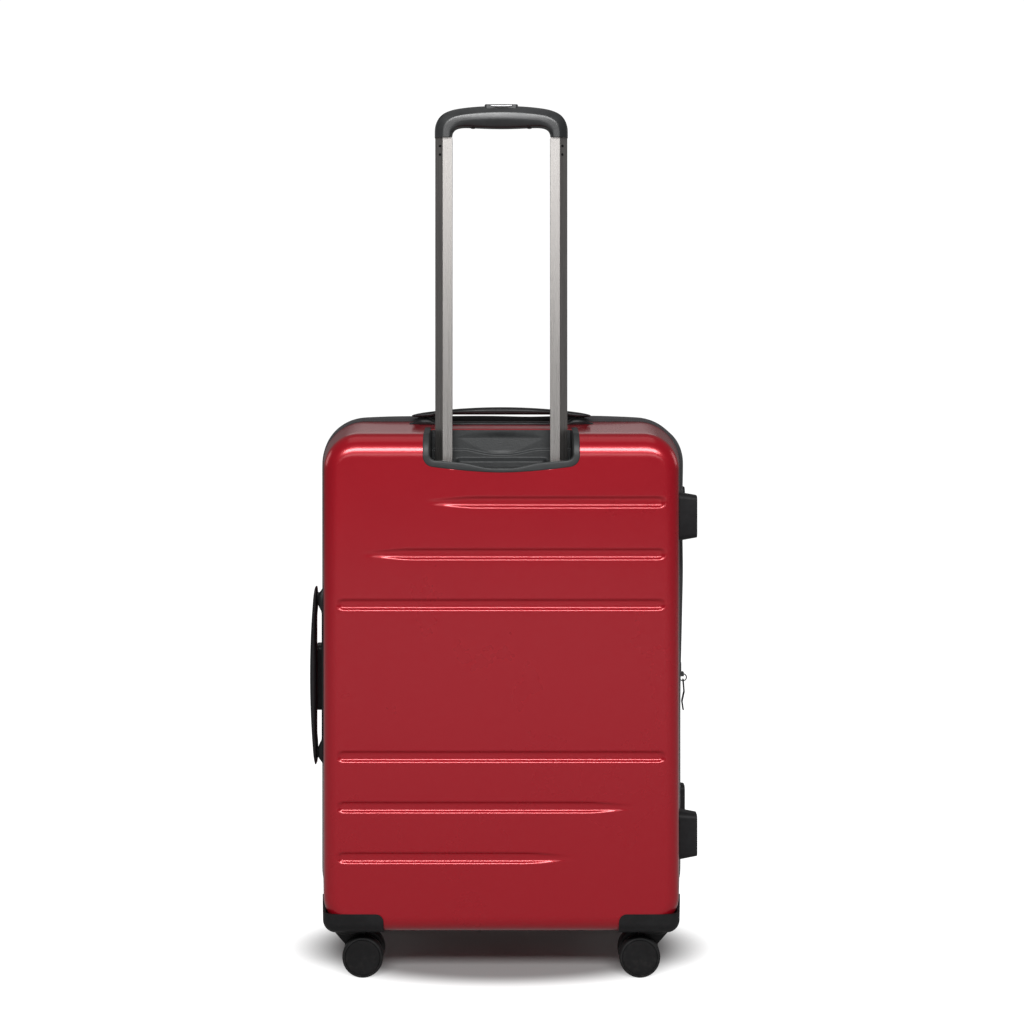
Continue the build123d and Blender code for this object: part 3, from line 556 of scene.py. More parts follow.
def curve_at(points, share):
    """A smooth curve through a few points (Catmull-Rom), at a share from 0 to 1 of its length."""
    place = share * (len(points) - 1)
    k = min(int(place), len(points) - 2)
    t = place - k
    a, b, c, d = (Vector(points[min(max(k + o, 0), len(points) - 1)]) for o in (-1, 0, 1, 2))
    return 0.5 * ((2 * b) + (c - a) * t + (2 * a - 5 * b + 4 * c - d) * t * t
                  + (3 * b - a - 3 * c + d) * t ** 3)


def outline_samples(step=14 * MM, corner_steps=14):
    """Points round the case's outline at the shells' open edges, each with its outward direction."""
    samples = []
    for sx, sz, first in ((1, 1, 0.0), (-1, 1, pi / 2), (-1, -1, pi), (1, -1, 3 * pi / 2)):
        for k in range(corner_steps + 1):
            angle = first + pi / 2 * k / corner_steps
            nx, nz = cos(angle), sin(angle)
            samples.append((sx * CORE_X + CORNER * nx, MIDDLE_Z + sz * CORE_Z + CORNER * nz, nx, nz))
        start = samples[-1]
        if sx * sz > 0:
            length, dx, dz = 2 * CORE_X, -sx, 0
        else:
            length, dx, dz = 2 * CORE_Z, 0, -sz
        count = round(length / step)
        for k in range(1, count):
            run = length * k / count
            samples.append((start[0] + dx * run, start[1] + dz * run, start[2], start[3]))
    return samples


OUTLINE = outline_samples()


def ring_skin(section, swell=None):
    """A ring round the case: section is a closed list of (out, y), swell adds to out round the ring."""
    count = len(OUTLINE)

    def place(i, j):
        x, z, nx, nz = OUTLINE[i % count]
        out, y = section[j]
        if swell:
            out += swell(x, z, out, y)
        return Vector((x + nx * out, y, z + nz * out))

    return closed_tube(count, len(section), place, capped=False)


# ================================================================== trolley cup
CUP_HALF = CUP_HIGH.x
CUP_RIM = 8 * MM            # the rim's width
CUP_RUN = 97 * MM           # from the rim's lowest point to its top, along the shell
RIM_PROUD = 0.9 * MM
POCKET_SIDE = CUP_HALF - CUP_RIM
POCKET_BACK, POCKET_FLOOR = CUP_HIGH.y - 2.5 * MM, CUP_LOW.z + 4.5 * MM


def back_surface(x, s, lift=0.0):
    """A point on the back shell's middle part: s runs up the face, round the top edge and over the top."""
    turn, slope = pi / 2 - DRAFT, tan(DRAFT)
    flat_end = FACE_CORNER + slope * TOP_ROUND - TOP_ROUND * sqrt(1 + slope * slope)
    z_flat = MIDDLE_Z + CORE_Z + flat_end
    if s < z_flat:
        return Vector((x, FACE_Y - lift, s))
    s -= z_flat
    if s < TOP_ROUND * turn:
        angle, extra = s / TOP_ROUND, 0.0
    else:
        angle, extra = turn, s - TOP_ROUND * turn
    return Vector((x, FACE_Y + TOP_ROUND * (1 - cos(angle)) + extra * sin(angle) - lift * cos(angle),
                   z_flat + TOP_ROUND * sin(angle) + extra * cos(angle) + lift * sin(angle)))


def cup_lower_edge(x):
    """Height of the cup rim's lower outer edge: lowest in the middle."""
    return CUP_LOW.z + 8 * MM * (abs(x) / CUP_HALF) ** 1.7


def cup_inner_edge(x):
    """Height of the rim's inner lower edge: level at the sides, with a scoop for the fingers between."""
    return CUP_LOW.z + (14.2 - 3.2 * (1 - smoothstep(abs(x), 30 * MM, 84 * MM))
                        - 5.8 * (1 - smoothstep(abs(x), 10 * MM, 46 * MM))) * MM


def cup_rim_path(share):
    """The rim's outer and inner edge points in (x, s) at a share of the way round its U."""
    top_s = CUP_LOW.z + CUP_RUN
    corner_out, corner_in = 11 * MM, 7 * MM

    def u_path(half, level, corner, t):
        side = -1 if t < 0.5 else 1
        t = 1 - abs(2 * t - 1)
        straight = top_s - level(half) - corner
        base = half - corner
        if t < 0.45:
            return side * half, top_s - straight * t / 0.45
        if t < 0.62:
            angle = (t - 0.45) / 0.17 * pi / 2
            return (side * (half - corner * (1 - cos(angle))),
                    level(half - corner * (1 - cos(angle))) + corner * (1 - sin(angle)))
        x = base * (1 - (t - 0.62) / 0.38)
        return side * x, level(x)

    return (u_path(CUP_HALF, cup_lower_edge, corner_out, share),
            u_path(POCKET_SIDE, cup_inner_edge, corner_in, share))


def cup_rim_piece():
    """The cup's rim: a band that follows the shell's surface, its lips rolled at both edges."""
    # share of the way from the outer to the inner edge, and lift over the shell
    lips = ((-0.03, -2.2), (0.0, -0.4), (0.03, 0.45), (0.09, 0.85), (0.25, 0.95), (0.5, 1.0), (0.75, 0.9),
            (0.9, 0.6), (0.97, 0.0), (1.0, -1.0), (1.0, -5.0))
    columns = 150

    def place(i, j):
        outer, inner = cup_rim_path(i / columns)
        share, lift = lips[j]
        x = outer[0] + (inner[0] - outer[0]) * share
        s = outer[1] + (inner[1] - outer[1]) * share
        return back_surface(x, s, lift * RIM_PROUD)

    bm = mapped_grid(columns, len(lips) - 1, place)
    piece = finish_piece(bm, "cup_rim", CUP, "back_case", ["trolley_cup"],
                         merge=TINY, angle=80)
    modifier(piece, "SUBSURF", "smooth", levels=1, render_levels=1)
    return piece


def cup_pocket_piece():
    """The pocket's back panel and sides: a sunk four-sided star over a shallow wavy lip, which is
    deep only low down, inside the grip's hollow."""
    half, back, floor = POCKET_SIDE, POCKET_BACK, POCKET_FLOOR
    top = back_surface(0, CUP_LOW.z + CUP_RUN).z - 1.5 * MM
    columns, rows = 120, 72
    star_z, star_half = CUP_LOW.z + 38 * MM, 34 * MM

    def panel_y(x, z):
        """How far forward of the back wall the panel stands."""
        ledge = CUP_LOW.z + (23.5 - 6.0 * (1 - smoothstep(abs(x), 8 * MM, 48 * MM))) * MM
        lip = 2.4 * MM * smoothstep(ledge + 2.2 * MM - z, 0.0, 2.0 * MM) - 1.3 * MM
        hollow = 7.4 * MM * smoothstep(CUP_LOW.z + 15.5 * MM - z, 0.0, 5.5 * MM)
        hollow *= 1 - smoothstep(abs(x), 49 * MM, 53 * MM)
        dx, dz = abs(x) / (star_half * 1.5), abs(z - star_z) / star_half
        star = max(0.0, 1 - dx - dz * 1.35) * 2.4 * MM * smoothstep(top - z, 1.5 * MM, 9 * MM)
        return lip + hollow - star * (1 - smoothstep(ledge + 6 * MM - z, 0.0, 4 * MM))

    corner = 5 * MM

    def place(i, j):
        z = floor + (top - floor) * j / rows
        side_cells = 16
        if i < side_cells or i > columns - side_cells:
            k = i if i < side_cells else columns - i
            sign = -1 if i < side_cells else 1
            front = FACE_Y + 1.5 * MM
            if z > MIDDLE_Z + CORE_Z + 20 * MM:
                rise = min(1.0, (z - MIDDLE_Z - CORE_Z - 20 * MM) / TOP_ROUND)
                front += TOP_ROUND * (1 - sqrt(1 - rise * rise))
            run = (k / side_cells) ** 0.8
            y = front + (back - corner * 0.3 - front) * run
            round_in = corner * max(0.0, run - 0.8) / 0.2
            return Vector((sign * (half - 0.3 * round_in), y, z))
        x = -half + 0.3 * corner + (2 * half - 0.6 * corner) * (i - side_cells) / (columns - 2 * side_cells)
        return Vector((x, back - panel_y(x, z), z))

    bm = mapped_grid(columns, rows, place)
    return finish_piece(bm, "cup_pocket", CUP, "back_case", angle=60, outward=False)


def cup_floor_piece():
    """The pocket's floor, with an eye round each tube."""
    half, back, floor = POCKET_SIDE, POCKET_BACK, POCKET_FLOOR
    bm = bmesh.new()
    bmesh.ops.create_grid(bm, x_segments=2, y_segments=2, size=0.5)
    bmesh.ops.scale(bm, vec=(2 * half, back - FACE_Y - 1 * MM, 1), verts=bm.verts)
    bmesh.ops.translate(bm, vec=(0, (back + FACE_Y + 1 * MM) / 2, floor), verts=bm.verts)
    for node in ("trolley_tube_left", "trolley_tube_right"):
        low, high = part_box(node)
        gap = 0.5 * MM
        cut_box(bm, Vector((low.x - gap, low.y - gap, floor - 1 * MM)),
                Vector((high.x + gap, high.y + gap, floor + 1 * MM)))
    piece = finish_piece(bm, "cup_floor", CUP, "back_case")
    modifier(piece, "SOLIDIFY", "thickness", thickness=2.0 * MM, offset=-1.0)
    return piece


cup_rim_piece()
cup_pocket_piece()
cup_floor_piece()


# ================================================================== grip and tubes
TUBE_LOW, TUBE_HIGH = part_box("trolley_tube_right")
TUBE_Y = (TUBE_LOW.y + TUBE_HIGH.y) / 2
LEG_Z = TUBE_HIGH.z
GRIP_OUTER = ((78, 0), (78, 1), (78, 6), (77.7, 12), (75.6, 19), (70.8, 26), (62.5, 31), (50, 34.3),
              (30, 36.6), (12, 37.4), (0, 37.5))
GRIP_INNER = ((57.5, 0), (57.5, 1), (57.3, 3.2), (56.6, 6), (55, 8.6), (52, 10.7), (47.5, 11.9), (40, 12.3),
              (25, 11.6), (10, 11.1), (0, 11))
# share from the inner to the outer edge, and depth from the grip's middle: at a leg, then in the middle
GRIP_SECTION = (((0.0, -6), (0.0, -3)), ((0.04, -10.4), (0.04, -6.2)), ((0.13, -11.9), (0.31, -11.2)),
                ((0.30, -12), (0.38, -12)), ((0.50, -12), (0.67, -10.9)), ((0.545, -11.8), (0.70, -10.5)),
                ((0.93, -7.2), (0.95, -5.6)), ((1.0, -5.4), (1.0, -4)), ((1.0, 5), (1.0, 5)),
                ((0.95, 9.6), (0.95, 9.6)), ((0.84, 11.8), (0.84, 11.8)), ((0.5, 12), (0.5, 12)),
                ((0.12, 11.8), (0.12, 11.8)), ((0.03, 10), (0.03, 10)), ((0.0, 6), (0.0, 6)))


def grip_piece():
    """The pull grip: one arch from leg to leg, faceted on its outer edge, with a lens-shaped flat."""
    half_columns, rows = 22, len(GRIP_SECTION)

    def place(i, j):
        side = -1 if i < half_columns else 1
        share = 1 - abs(i - half_columns) / half_columns
        outer, inner = curve_at(GRIP_OUTER, share), curve_at(GRIP_INNER, share)
        lens = smoothstep(share, 0.42, 0.97)
        (leg_f, leg_y), (mid_f, mid_y) = GRIP_SECTION[j]
        f, y = leg_f + (mid_f - leg_f) * lens, leg_y + (mid_y - leg_y) * lens
        x, z = (inner + (outer - inner) * f) * MM
        return Vector((side * x, TUBE_Y + y * MM, LEG_Z + z))

    bm = closed_tube(2 * half_columns, rows, place)
    piece = finish_piece(bm, "pull_grip", GRIP, "trolley",
                         ["grip_base", "grip_cover"], angle=80)
    modifier(piece, "SUBSURF", "smooth", levels=2, render_levels=2)
    return piece


def grip_nubs_piece():
    """Two small rubber nubs under the grip."""
    bm = bmesh.new()
    for x in (-33, 33):
        at = Matrix.Translation((x * MM, TUBE_Y, LEG_Z + 11.9 * MM)) @ Matrix.Diagonal((3.2, 5, 1.1, 1))
        bmesh.ops.create_uvsphere(bm, u_segments=16, v_segments=8, radius=1 * MM, matrix=at)
    return finish_piece(bm, "grip_nubs", GRIP, "trolley")


def grip_button_pieces():
    """The button on the grip: a dished black key with a bright lens on its back."""
    low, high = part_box("grip_button")
    cad_copy(["grip_button"], "grip_button_key", GRIP, "grip_button", 0.8 * MM)
    half, drop = 13.5 * MM, 3.6 * MM

    def place(i, j):
        x = half * (2 * i / 24 - 1)
        depth = drop * sqrt(max(0.0, 1 - (x / half) ** 2)) * j / 5
        dome = 0.5 * MM * sin(pi * min(1.0, depth / drop))
        return Vector((x, low.y - 0.35 * MM - dome, high.z - 0.7 * MM - depth))

    bm = mapped_grid(24, 5, place)
    bmesh.ops.remove_doubles(bm, verts=bm.verts, dist=TINY)
    piece = finish_piece(bm, "grip_button_lens", SILVER, "grip_button", angle=80)
    modifier(piece, "SOLIDIFY", "thickness", thickness=0.5 * MM, offset=0)
    return piece


grip_piece()
grip_nubs_piece()
grip_button_pieces()
for side in ("left", "right"):
    cad_copy([f"trolley_tube_{side}"], f"tube_{side}", TUBE, "trolley", 0.45 * MM,
             segments=2)


# ================================================================== carry handles
def handle_pieces(name):
    """A carry handle: an arched bow on two stems, over a base plate with a tower at each end."""
    low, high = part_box(f"{name}_handle")
    middle_y = (low.y + high.y) / 2
    # the level of the bow's foot, its middle and half its length, then in mm its rise and its hollow
    if name == "top":
        foot, centre, half, reach, hollow = high.z - 19.5 * MM, 0.0, high.x, 19.5, 3.2
    else:
        foot, centre = -low.x - 21 * MM, (low.z + high.z) / 2 + 8 * MM
        half, reach, hollow = 105 * MM, 16.0, 1.0

    def to_place(u, y, h):
        if name == "top":
            return Vector((centre + u, middle_y + y, foot + h))
        return Vector((-foot - h, middle_y + y, centre + u))

    columns, rows = 64, 20

    def place(i, j):
        share = 2 * i / columns - 1
        u = half * (share * (1.12 - 0.12 * share * share))
        over = max(0.0, (abs(u) - 0.86 * half) / (0.14 * half))
        blunt = sqrt(max(0.0, 1 - over * over * 0.94))
        under = 7.2 + hollow * (1 - smoothstep(abs(u), half - 36 * MM, half - 22 * MM))
        top = reach - (reach - 11.0) * (u / half) ** 2
        h_mid, h_half = (top + under) / 2, (top - under) / 2 * (0.25 + 0.75 * blunt)
        deep = 12.0 * (0.62 + 0.38 * blunt)
        angle = 2 * pi * j / rows
        c, s = cos(angle), sin(angle)
        y = deep * signed_power(c, 0.55)
        h = h_mid + h_half * signed_power(s, 0.75)
        return to_place(u, y * MM, h * MM)

    bm = closed_tube(columns, rows, place)
    finish_piece(bm, f"{name}_handle_bow", TRIM, f"{name}_handle", [f"{name}_handle"], angle=80)
    bm = bmesh.new()
    for u in (-half + 12 * MM, half - 12 * MM):
        centre_point = to_place(u, 0, 5.6 * MM)
        size = Vector((10, 8, 5.6)) if name == "top" else Vector((5.6, 8, 10))
        box = Matrix.Translation(centre_point) @ Matrix.Diagonal((*(size * MM), 1))
        bmesh.ops.create_cube(bm, size=1, matrix=box)
    bmesh.ops.bevel(bm, geom=bm.edges[:], offset=0.6 * MM, segments=2, profile=0.5, material=-1,
                    affect="EDGES")
    finish_piece(bm, f"{name}_handle_stems", TRIM, f"{name}_handle")

    def plate_place(i, j):
        """The base: a low plate that swells round each stem and thins to its ends."""
        u = (half + 3 * MM) * (2 * i / columns - 1)
        tip = smoothstep(abs(u), half - 16 * MM, half + 3 * MM)
        tower = smoothstep(abs(u), half - 30 * MM, half - 20 * MM)
        tower *= 1 - smoothstep(abs(u), half - 8 * MM, half)
        top, under = 2.0 + 4.2 * tower - 1.4 * tip, -3.5
        angle = 2 * pi * j / rows
        c, s = cos(angle), sin(angle)
        y = (13.5 - 4.5 * tip) * signed_power(c, 0.5)
        h = (top + under) / 2 + (top - under) / 2 * signed_power(s, 0.6)
        return to_place(u, y * MM, h * MM)

    bm = closed_tube(columns, rows, plate_place)
    finish_piece(bm, f"{name}_handle_plate", TRIM, "back_case", [f"{name}_handle_base"], angle=60)


handle_pieces("top")
handle_pieces("side")


# ================================================================== bands, zips and gusset
BAND_Y = {"back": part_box("back_band"), "mid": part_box("mid_band"), "front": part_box("front_band")}


def back_band_swell(x, z, out, y):
    """Soft cloth standing proud of the shells along the top and down the hinge side."""
    if out < 0:
        return 0.0
    top = smoothstep(z, MIDDLE_Z + CORE_Z + 10 * MM, MIDDLE_Z + HALF_HEIGHT - 2 * MM)
    top *= 6.0 * MM * (0.45 + 0.55 * (1 - smoothstep(abs(x), 120 * MM, 200 * MM)))
    side = 0.0
    if x > 0:
        side = smoothstep(x, CORE_X + 20 * MM, HALF_WIDTH - 4 * MM) * smoothstep(z, 292 * MM, 470 * MM) * 3.6 * MM
    ripple = 1 + 0.35 * noise.noise(Vector((x * 14, z * 14, 3.0)))
    low, high = BAND_Y["back"]
    across = sin(pi * min(1.0, max(0.0, (y - low.y) / (high.y - low.y))))
    return max(top, side) * ripple * across ** 0.6


def small_ripple(x, z, out, y):
    return 0.22 * MM * noise.noise(Vector((x * 30, z * 30, y * 60))) if out > 0 else 0.0


PIPING_RISE, PIPING_SHARE = 0.9 * MM, 0.4      # the piped cord's height, and its share of the tape
TOOTH_SIZE = (0.95 * MM, 1.5 * MM, 1.1 * MM)


def band_section(y_from, y_to, piping_from=False, piping_to=False):
    """A closed section of cloth tape between two depths, with a cord piped in at an edge if asked."""
    inner, outer = -3.6 * MM, 0.55 * MM
    span = y_to - y_from
    points = []
    for k in range(9):
        share = k / 8
        out = outer
        if piping_from and share < PIPING_SHARE:
            out += PIPING_RISE * sin(pi * share / PIPING_SHARE)
        elif piping_to and share > 1 - PIPING_SHARE:
            out += PIPING_RISE * sin(pi * (1 - share) / PIPING_SHARE)
        edge = min(share, 1 - share)
        out -= 0.6 * MM * (1 - smoothstep(edge, 0.0, 0.1))
        points.append((out, y_from + span * share))
    points.append((inner, y_to))
    points.append((inner, y_from))
    return points


def band_pieces():
    for key, body, pipe in (("back", "back_case", (True, False)), ("mid", "mid_frame", (False, False)),
                            ("front", "front_case", (False, True))):
        low, high = BAND_Y[key]
        bm = ring_skin(band_section(low.y, high.y, *pipe), back_band_swell if key == "back" else small_ripple)
        piece = finish_piece(bm, f"{key}_tape", TAPE, body, [f"{key}_band"], angle=50)
        if key == "back":
            modifier(piece, "SUBSURF", "smooth", levels=1, render_levels=1)


def zip_teeth(name, body, y, side, pitch, start, skip_hinge_side):
    """One row of moulded teeth along an edge of a tape; start offsets it against its partner row."""
    bm = bmesh.new()
    count = len(OUTLINE)
    travelled, due = 0.0, start
    for k in range(count):
        x0, z0, nx0, nz0 = OUTLINE[k]
        x1, z1, nx1, nz1 = OUTLINE[(k + 1) % count]
        length = hypot(x1 - x0, z1 - z0)
        while due < travelled + length:
            t = (due - travelled) / length
            x, z = x0 + (x1 - x0) * t, z0 + (z1 - z0) * t
            nx, nz = nx0 + (nx1 - nx0) * t, nz0 + (nz1 - nz0) * t
            due += pitch
            if skip_hinge_side and x > CORE_X + 20 * MM and abs(z - MIDDLE_Z) < CORE_Z - 20 * MM:
                continue
            normal = Vector((nx, 0, nz)).normalized()
            along = Vector((0, 1, 0)).cross(normal)
            place = Matrix(((*along, 0), (0, 1, 0, 0), (*normal, 0), (0, 0, 0, 1))).transposed()
            place.translation = Vector((x, y + side * 0.5 * MM, z)) + normal * 0.35 * MM
            bmesh.ops.create_cube(bm, size=1, matrix=place @ Matrix.Diagonal((*TOOTH_SIZE, 1)))
        travelled += length
    return finish_piece(bm, name, TEETH, body, outward=False)


def zip_pieces():
    main_y = (BAND_Y["back"][1].y + BAND_Y["mid"][0].y) / 2
    wide_y = (BAND_Y["mid"][1].y + BAND_Y["front"][0].y) / 2
    pitch = 2.6 * MM
    zip_teeth("main_zip_teeth_back", "back_case", main_y - 0.35 * MM, -1, pitch, 0.0, True)
    zip_teeth("main_zip_teeth_front", "mid_frame", main_y + 0.35 * MM, 1, pitch, pitch / 2, True)
    zip_teeth("wide_zip_teeth_back", "mid_frame", wide_y - 0.35 * MM, -1, pitch, 0.0, False)
    zip_teeth("wide_zip_teeth_front", "front_case", wide_y + 0.35 * MM, 1, pitch, pitch / 2, False)


def gusset_piece():
    """The expansion gusset: a ring of cloth folded into two pleats."""
    low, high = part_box("expansion_gusset")
    start_y, end_y = low.y, high.y
    out_from, deep = -4.8 * MM, 9.0 * MM
    folds, per_fold = 4, 5
    section = []
    for k in range(folds * per_fold + 1):
        share = k / (folds * per_fold)
        wave = abs((share * folds / 2) % 1.0 * 2 - 1)
        section.append((out_from - deep * (0.5 + 0.5 * cos(pi * wave)), start_y + (end_y - start_y) * share))
    count = len(OUTLINE)

    def place(i, j):
        x, z, nx, nz = OUTLINE[i % count]
        out, y = section[j]
        out += 0.8 * MM * noise.noise(Vector((x * 20, z * 20, y * 300)))
        return Vector((x + nx * out, y, z + nz * out))

    bm = mapped_grid(count, len(section) - 1, place)
    bmesh.ops.remove_doubles(bm, verts=bm.verts, dist=TINY)
    piece = finish_piece(bm, "gusset_cloth", GUSSET, None, angle=180)
    return piece, section


band_pieces()
zip_pieces()
gusset, gusset_section = gusset_piece()


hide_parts("expansion_gusset")
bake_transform(gusset)


# ================================================================== linings, straps and hinge strip
def lining_piece(end):
    """A fabric lining stretched inside one shell, a little slack across its panel."""
    low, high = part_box(f"{end}_lining")
    inset = HALF_WIDTH - high.x
    panel = low.y if end == "back" else -high.y
    depth = EDGE_Y - panel + inset

    def rounding(nz):
        return 13 * MM if end == "back" else edge_round(nz)

    def slack(x, z):
        return 1.3 * MM * (0.5 + 0.5 * noise.noise(Vector((x * 9, z * 9, 5.0 if end == "back" else 11.0))))

    bm = shell_grid(-inset, depth, slack, rounding, coarse=True)
    housing_low, housing_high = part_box("wheel_housing_back_right")
    for side in (-1, 1):
        edges = sorted((side * (housing_low.x + 1 * MM), side * (HALF_WIDTH + PAST)))
        cut_box(bm, Vector((edges[0], 2 * FACE_Y, 0)),
                Vector((edges[1], housing_high.y - 1 * MM, housing_high.z - 1 * MM)))
    if end == "front":
        bmesh.ops.transform(bm, matrix=Matrix.Diagonal((1, -1, 1, 1)), verts=bm.verts)
    piece = finish_piece(bm, f"{end}_lining_cloth", LINING, f"{end}_case", [f"{end}_lining"],
                         merge=TINY, angle=180)
    return piece


STRAP_TURN, STRAP_WIDE, STRAP_THICK = radians(32), 25 * MM, 1.2 * MM


def strap_piece():
    """Four arms of flat webbing from the case's sides to the buckle, sewn down at their outer ends."""
    low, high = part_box("packing_straps")
    middle_y, start = (low.y + high.y) / 2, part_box("strap_buckle")[1].x - 5 * MM
    bm = bmesh.new()
    for side_x in (-1, 1):
        for side_z in (-1, 1):
            arm = mapped_grid(26, 6, lambda i, j: Vector((
                side_x * (start + (high.x - start) * i / 26),
                middle_y + 0.5 * MM * sin(pi * i / 26) - 0.25 * MM * cos(pi * (j / 3 - 1)),
                MIDDLE_Z + side_z * (start + (high.x - start) * i / 26) * tan(STRAP_TURN)
                + (j / 6 - 0.5) * STRAP_WIDE / cos(STRAP_TURN))))
            mesh = bpy.data.meshes.new("arm")
            arm.to_mesh(mesh)
            arm.free()
            bm.from_mesh(mesh)
            bpy.data.meshes.remove(mesh)
    piece = finish_piece(bm, "strap_webbing_cross", WEBBING, "back_case",
                         ["packing_straps"], angle=180)
    modifier(piece, "SOLIDIFY", "webbing_thickness", thickness=STRAP_THICK, offset=0.0)
    return piece


def hinge_strip_piece():
    """The cloth hinge down the case's side: a narrow strip with one loose fold."""
    low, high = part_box("hinge_strip")
    middle_x = (low.x + high.x) / 2
    bm = mapped_grid(12, 60, lambda i, j: Vector((
        middle_x - 0.5 * MM * sin(pi * i / 12) ** 2, low.y + (high.y - low.y) * i / 12,
        low.z + (high.z - low.z) * j / 60)))
    piece = finish_piece(bm, "hinge_cloth", GUSSET, None, angle=180)
    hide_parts("hinge_strip")
    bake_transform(piece)
    return piece


lining_piece("back")
lining_piece("front")
strap_piece()
hinge_strip_piece()
cad_copy(["strap_buckle"], "buckle", TRIM, "back_case", 0.8 * MM)


# ================================================================== wheels, forks and housings
def wheel_piece(node, end, inner_wheel):
    """One caster wheel: a soft tyre round a dished disc, with a plain cap inside a fine groove."""
    low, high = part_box(node)
    centre = (low + high) / 2
    radius, half = (high.z - low.z) / 2, (high.y - low.y) / 2
    outward = (-1 if end == "back" else 1) * (-1 if inner_wheel else 1)
    # distance from the axle, and from the wheel's middle towards its outer face
    tyre = ((0.30, -0.86), (0.55, -0.86), (0.80, -0.97), (0.885, -1.0), (0.95, -0.93), (0.985, -0.75),
            (1.0, -0.45), (1.0, 0.0), (1.0, 0.45), (0.985, 0.75), (0.95, 0.93), (0.905, 1.0), (0.87, 0.99),
            (0.855, 0.90))
    cap = ((0.850, 0.86), (0.835, 0.95), (0.815, 0.965), (0.60, 0.94), (0.30, 0.915), (0.0, 0.905))
    for name, profile, finish in (("tyre", tyre, TYRE), ("cap", cap, CAP)):
        bm = bmesh.new()
        verts = [bm.verts.new((r * radius, t * half, 0)) for r, t in profile]
        edges = [bm.edges.new(pair) for pair in zip(verts, verts[1:])]
        bmesh.ops.spin(bm, geom=verts + edges, cent=(0, 0, 0), axis=(0, 1, 0), angle=2 * pi,
                       steps=96, use_merge=True)
        bmesh.ops.remove_doubles(bm, verts=bm.verts, dist=TINY)
        if outward < 0:
            bmesh.ops.rotate(bm, cent=(0, 0, 0), matrix=Matrix.Rotation(pi, 3, "Z"), verts=bm.verts)
        bmesh.ops.translate(bm, vec=centre, verts=bm.verts)
        bmesh.ops.recalc_face_normals(bm, faces=bm.faces)
        piece = finish_piece(bm, f"{node}_{name}", finish, node,
                             [node] if name == "tyre" else (), outward=False, angle=40)
        outer_face = max(piece.data.polygons, key=lambda p: p.center.y * outward)
        if outer_face.normal.y * outward < 0:
            piece.data.flip_normals()


def corner_pieces(end, side):
    """A corner's running gear: housing, fork and two wheels."""
    place = f"{end}_{side}"
    for which in ("outer", "inner"):
        wheel_piece(f"wheel_{place}_{which}", end, which == "inner")
    cad_copy([f"wheel_housing_{place}"], f"housing_{place}", HOUSING, f"{end}_case", 1.1 * MM)
    cad_copy([f"caster_fork_{place}"], f"fork_{place}", HOUSING, f"caster_{place}", 0.6 * MM)


for end in ("back", "front"):
    for side in ("left", "right"):
        corner_pieces(end, side)
    cad_copy([f"side_feet_{end}"], f"feet_{end}", TRIM, f"{end}_case", 2.6 * MM, segments=4)


# ================================================================== lock, pulls and slider
cad_copy(["lock_body"], "lock_case", TRIM, "back_case", 0.35 * MM, segments=2)
cad_copy(["lock_button"], "lock_key", SILVER, "lock_button", 0.4 * MM, segments=2)
for number in (1, 2, 3):
    cad_copy([f"lock_dial_{number}"], f"dial_{number}", CAP, f"lock_dial_{number}",
             0.12 * MM, segments=1)
for place in ("lower", "upper"):
    cad_copy([f"main_zip_pull_{place}"], f"zip_pull_{place}", ZIP_METAL, f"main_zip_pull_{place}",
             0.3 * MM)
cad_copy(["expansion_slider"], "slider", ZIP_METAL, "expansion_slider", 0.25 * MM)


def ring_pull_pieces():
    """An open wire ring through the slider's loop, with a kinked rubber tab hanging from it."""
    low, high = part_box("pull_ring")
    centre, wire = (low + high) / 2, (high.y - low.y) / 2
    radius = (high.x - low.x) / 2 - wire
    gap_from, gap_to = radians(112), radians(158)
    columns = 44

    def place(i, j):
        turn = gap_to + (2 * pi - (gap_to - gap_from)) * i / columns
        round_end = min(1.0, sqrt(max(0.0, 1 - max(0.0, 1 - min(i, columns - i) / 2) ** 2)) + 0.05)
        angle = 2 * pi * j / 12
        r = radius + wire * round_end * cos(angle)
        return centre + Vector((r * cos(turn), wire * round_end * sin(angle), r * sin(turn)))

    bm = closed_tube(columns, 12, place)
    finish_piece(bm, "ring", ZIP_METAL, "ring_pull", ["pull_ring"], angle=80)
    cad_copy(["pull_strap"], "ring_tab", PULL, "ring_pull", 0.3 * MM)


ring_pull_pieces()


# ================================================================== finishes of the pieces kept from the frame
KEPT = {
    "guide_tubes": PLAIN_METAL, "trolley_base": TRIM, "tube_plugs": TRIM, "trolley_rivets": RIVET,
    "push_rods": STEEL, "lock_pin_left": STEEL, "lock_pin_right": STEEL,
    **{f"caster_axle_{end}_{side}": STEEL for end in ("back", "front") for side in ("left", "right")},
}
for node, finish in KEPT.items():
    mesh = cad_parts[node].data
    mesh.materials.clear()
    mesh.materials.append(finish.material)


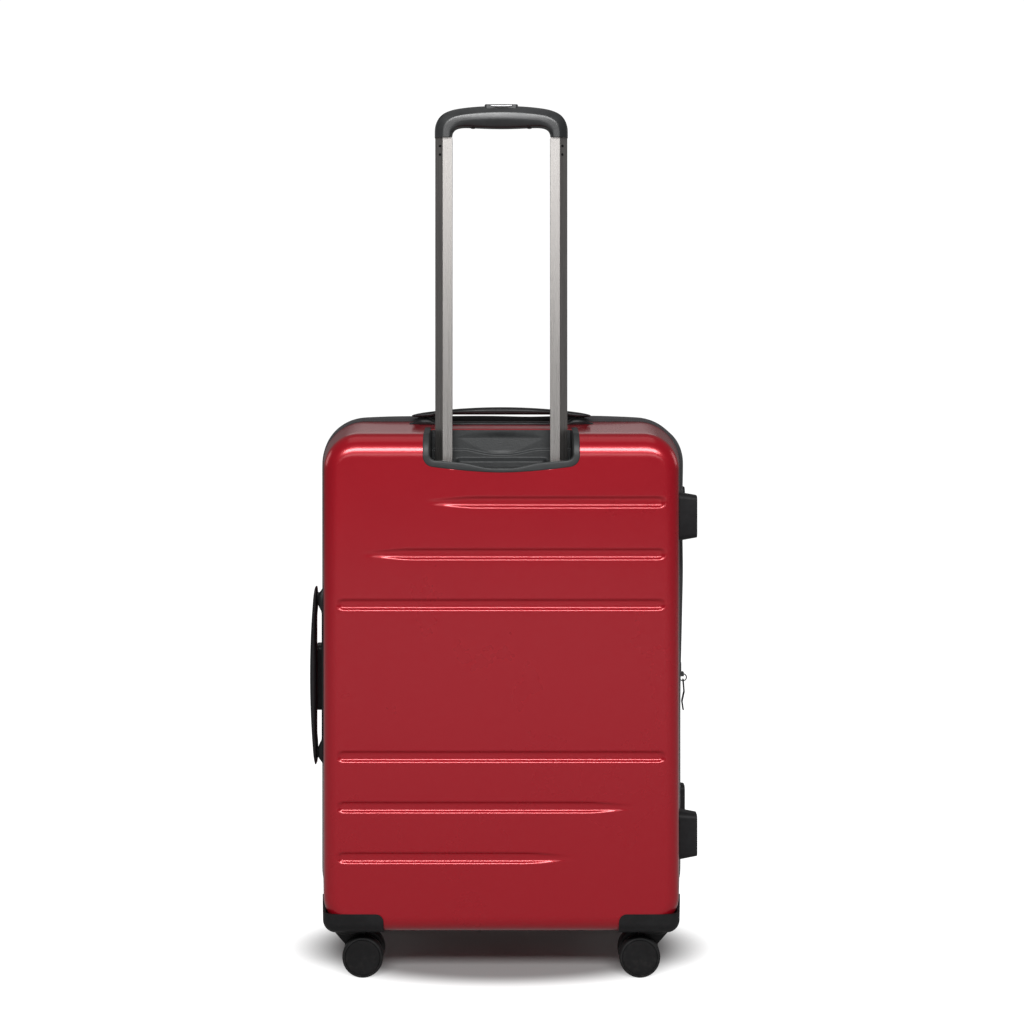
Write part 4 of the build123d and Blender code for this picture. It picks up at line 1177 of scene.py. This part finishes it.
# ================================================================== floor, light and camera
def stage_pieces():
    """The floor, which shows plain and pale to the camera outside the contact shadow."""
    bm = bmesh.new()
    bmesh.ops.create_grid(bm, x_segments=1, y_segments=1, size=12)
    mesh = bpy.data.meshes.new("studio_floor")
    bm.to_mesh(mesh)
    bm.free()
    floor = bpy.data.objects.new("studio_floor", mesh)
    bpy.context.scene.collection.objects.link(floor)
    finish = Finish("studio_white", (0.42, 0.42, 0.42), roughness=0.95)
    tree = finish.tree
    length = tree.nodes.new("ShaderNodeVectorMath")
    length.operation = "LENGTH"
    squeezed = tree.nodes.new("ShaderNodeVectorMath")
    squeezed.operation = "MULTIPLY"
    squeezed.inputs[1].default_value = (0.55, 1.0, 1.0)
    tree.links.new(object_coordinates(tree), squeezed.inputs[0])
    tree.links.new(squeezed.outputs["Vector"], length.inputs[0])
    path = tree.nodes.new("ShaderNodeLightPath")
    far = range_node(tree, length.outputs["Value"], 0.10, 0.16, 0.0, 1.0)
    glow = math_node(tree, "MULTIPLY", far, path.outputs["Is Camera Ray"])
    tree.links.new(glow, finish.shader.inputs["Emission Color"])
    finish.shader.inputs["Emission Strength"].default_value = 1.0
    mesh.materials.append(finish.material)


# name, place, the point it faces, its size, and its power in watts
LIGHTS = (
    ("key_strip", (0.0, -4.3, 3.55), (0, 0, 0.45), (4.0, 1.15), 245),
    ("tube_card", (0.0, -5.0, 1.55), (0, 0, 0.9), (3.0, 0.7), 17),
    ("overhead", (0.0, 0.1, 2.6), (0, 0, 0.3), (1.8, 1.3), 3.5),
    ("side_fill", (3.2, 1.0, 1.6), (0, 0, 0.4), (1.4, 1.4), 8),
    ("side_fill_left", (-3.2, 1.0, 1.6), (0, 0, 0.4), (1.4, 1.4), 7),
    ("far_fill", (0.0, 4.2, 2.4), (0, 0, 0.4), (2.4, 1.2), 3),
)


def area_light(name, place, look_at, size, power):
    data = bpy.data.lights.new(name, "AREA")
    data.shape, data.size, data.size_y, data.energy = "RECTANGLE", size[0], size[1], power
    light = bpy.data.objects.new(name, data)
    bpy.context.scene.collection.objects.link(light)
    light.location = place
    light.rotation_euler = (Vector(look_at) - Vector(place)).to_track_quat("-Z", "Y").to_euler()


def studio():
    scene = bpy.context.scene
    world = bpy.data.worlds.new("studio")
    scene.world = world
    world.use_nodes = True
    tree = world.node_tree
    background = tree.nodes["Background"]
    path = tree.nodes.new("ShaderNodeLightPath")
    background.inputs["Color"].default_value = (1, 1, 1, 1)
    strength = range_node(tree, path.outputs["Is Camera Ray"], 0.0, 1.0, 0.12, 1.05)
    tree.links.new(strength, background.inputs["Strength"])
    for light in LIGHTS:
        area_light(*light)
    scene.view_settings.view_transform = "Standard"
    camera_data = bpy.data.cameras.new("camera")
    camera_data.lens, camera_data.sensor_width = 60.9, 36.0
    camera_data.shift_x, camera_data.shift_y = 0.0088, -0.148
    camera = bpy.data.objects.new("camera", camera_data)
    scene.collection.objects.link(camera)
    camera.location = (0.002, -2.135, 0.7215)
    camera.rotation_euler = (pi / 2, 0, 0)
    scene.camera = camera


stage_pieces()
studio()
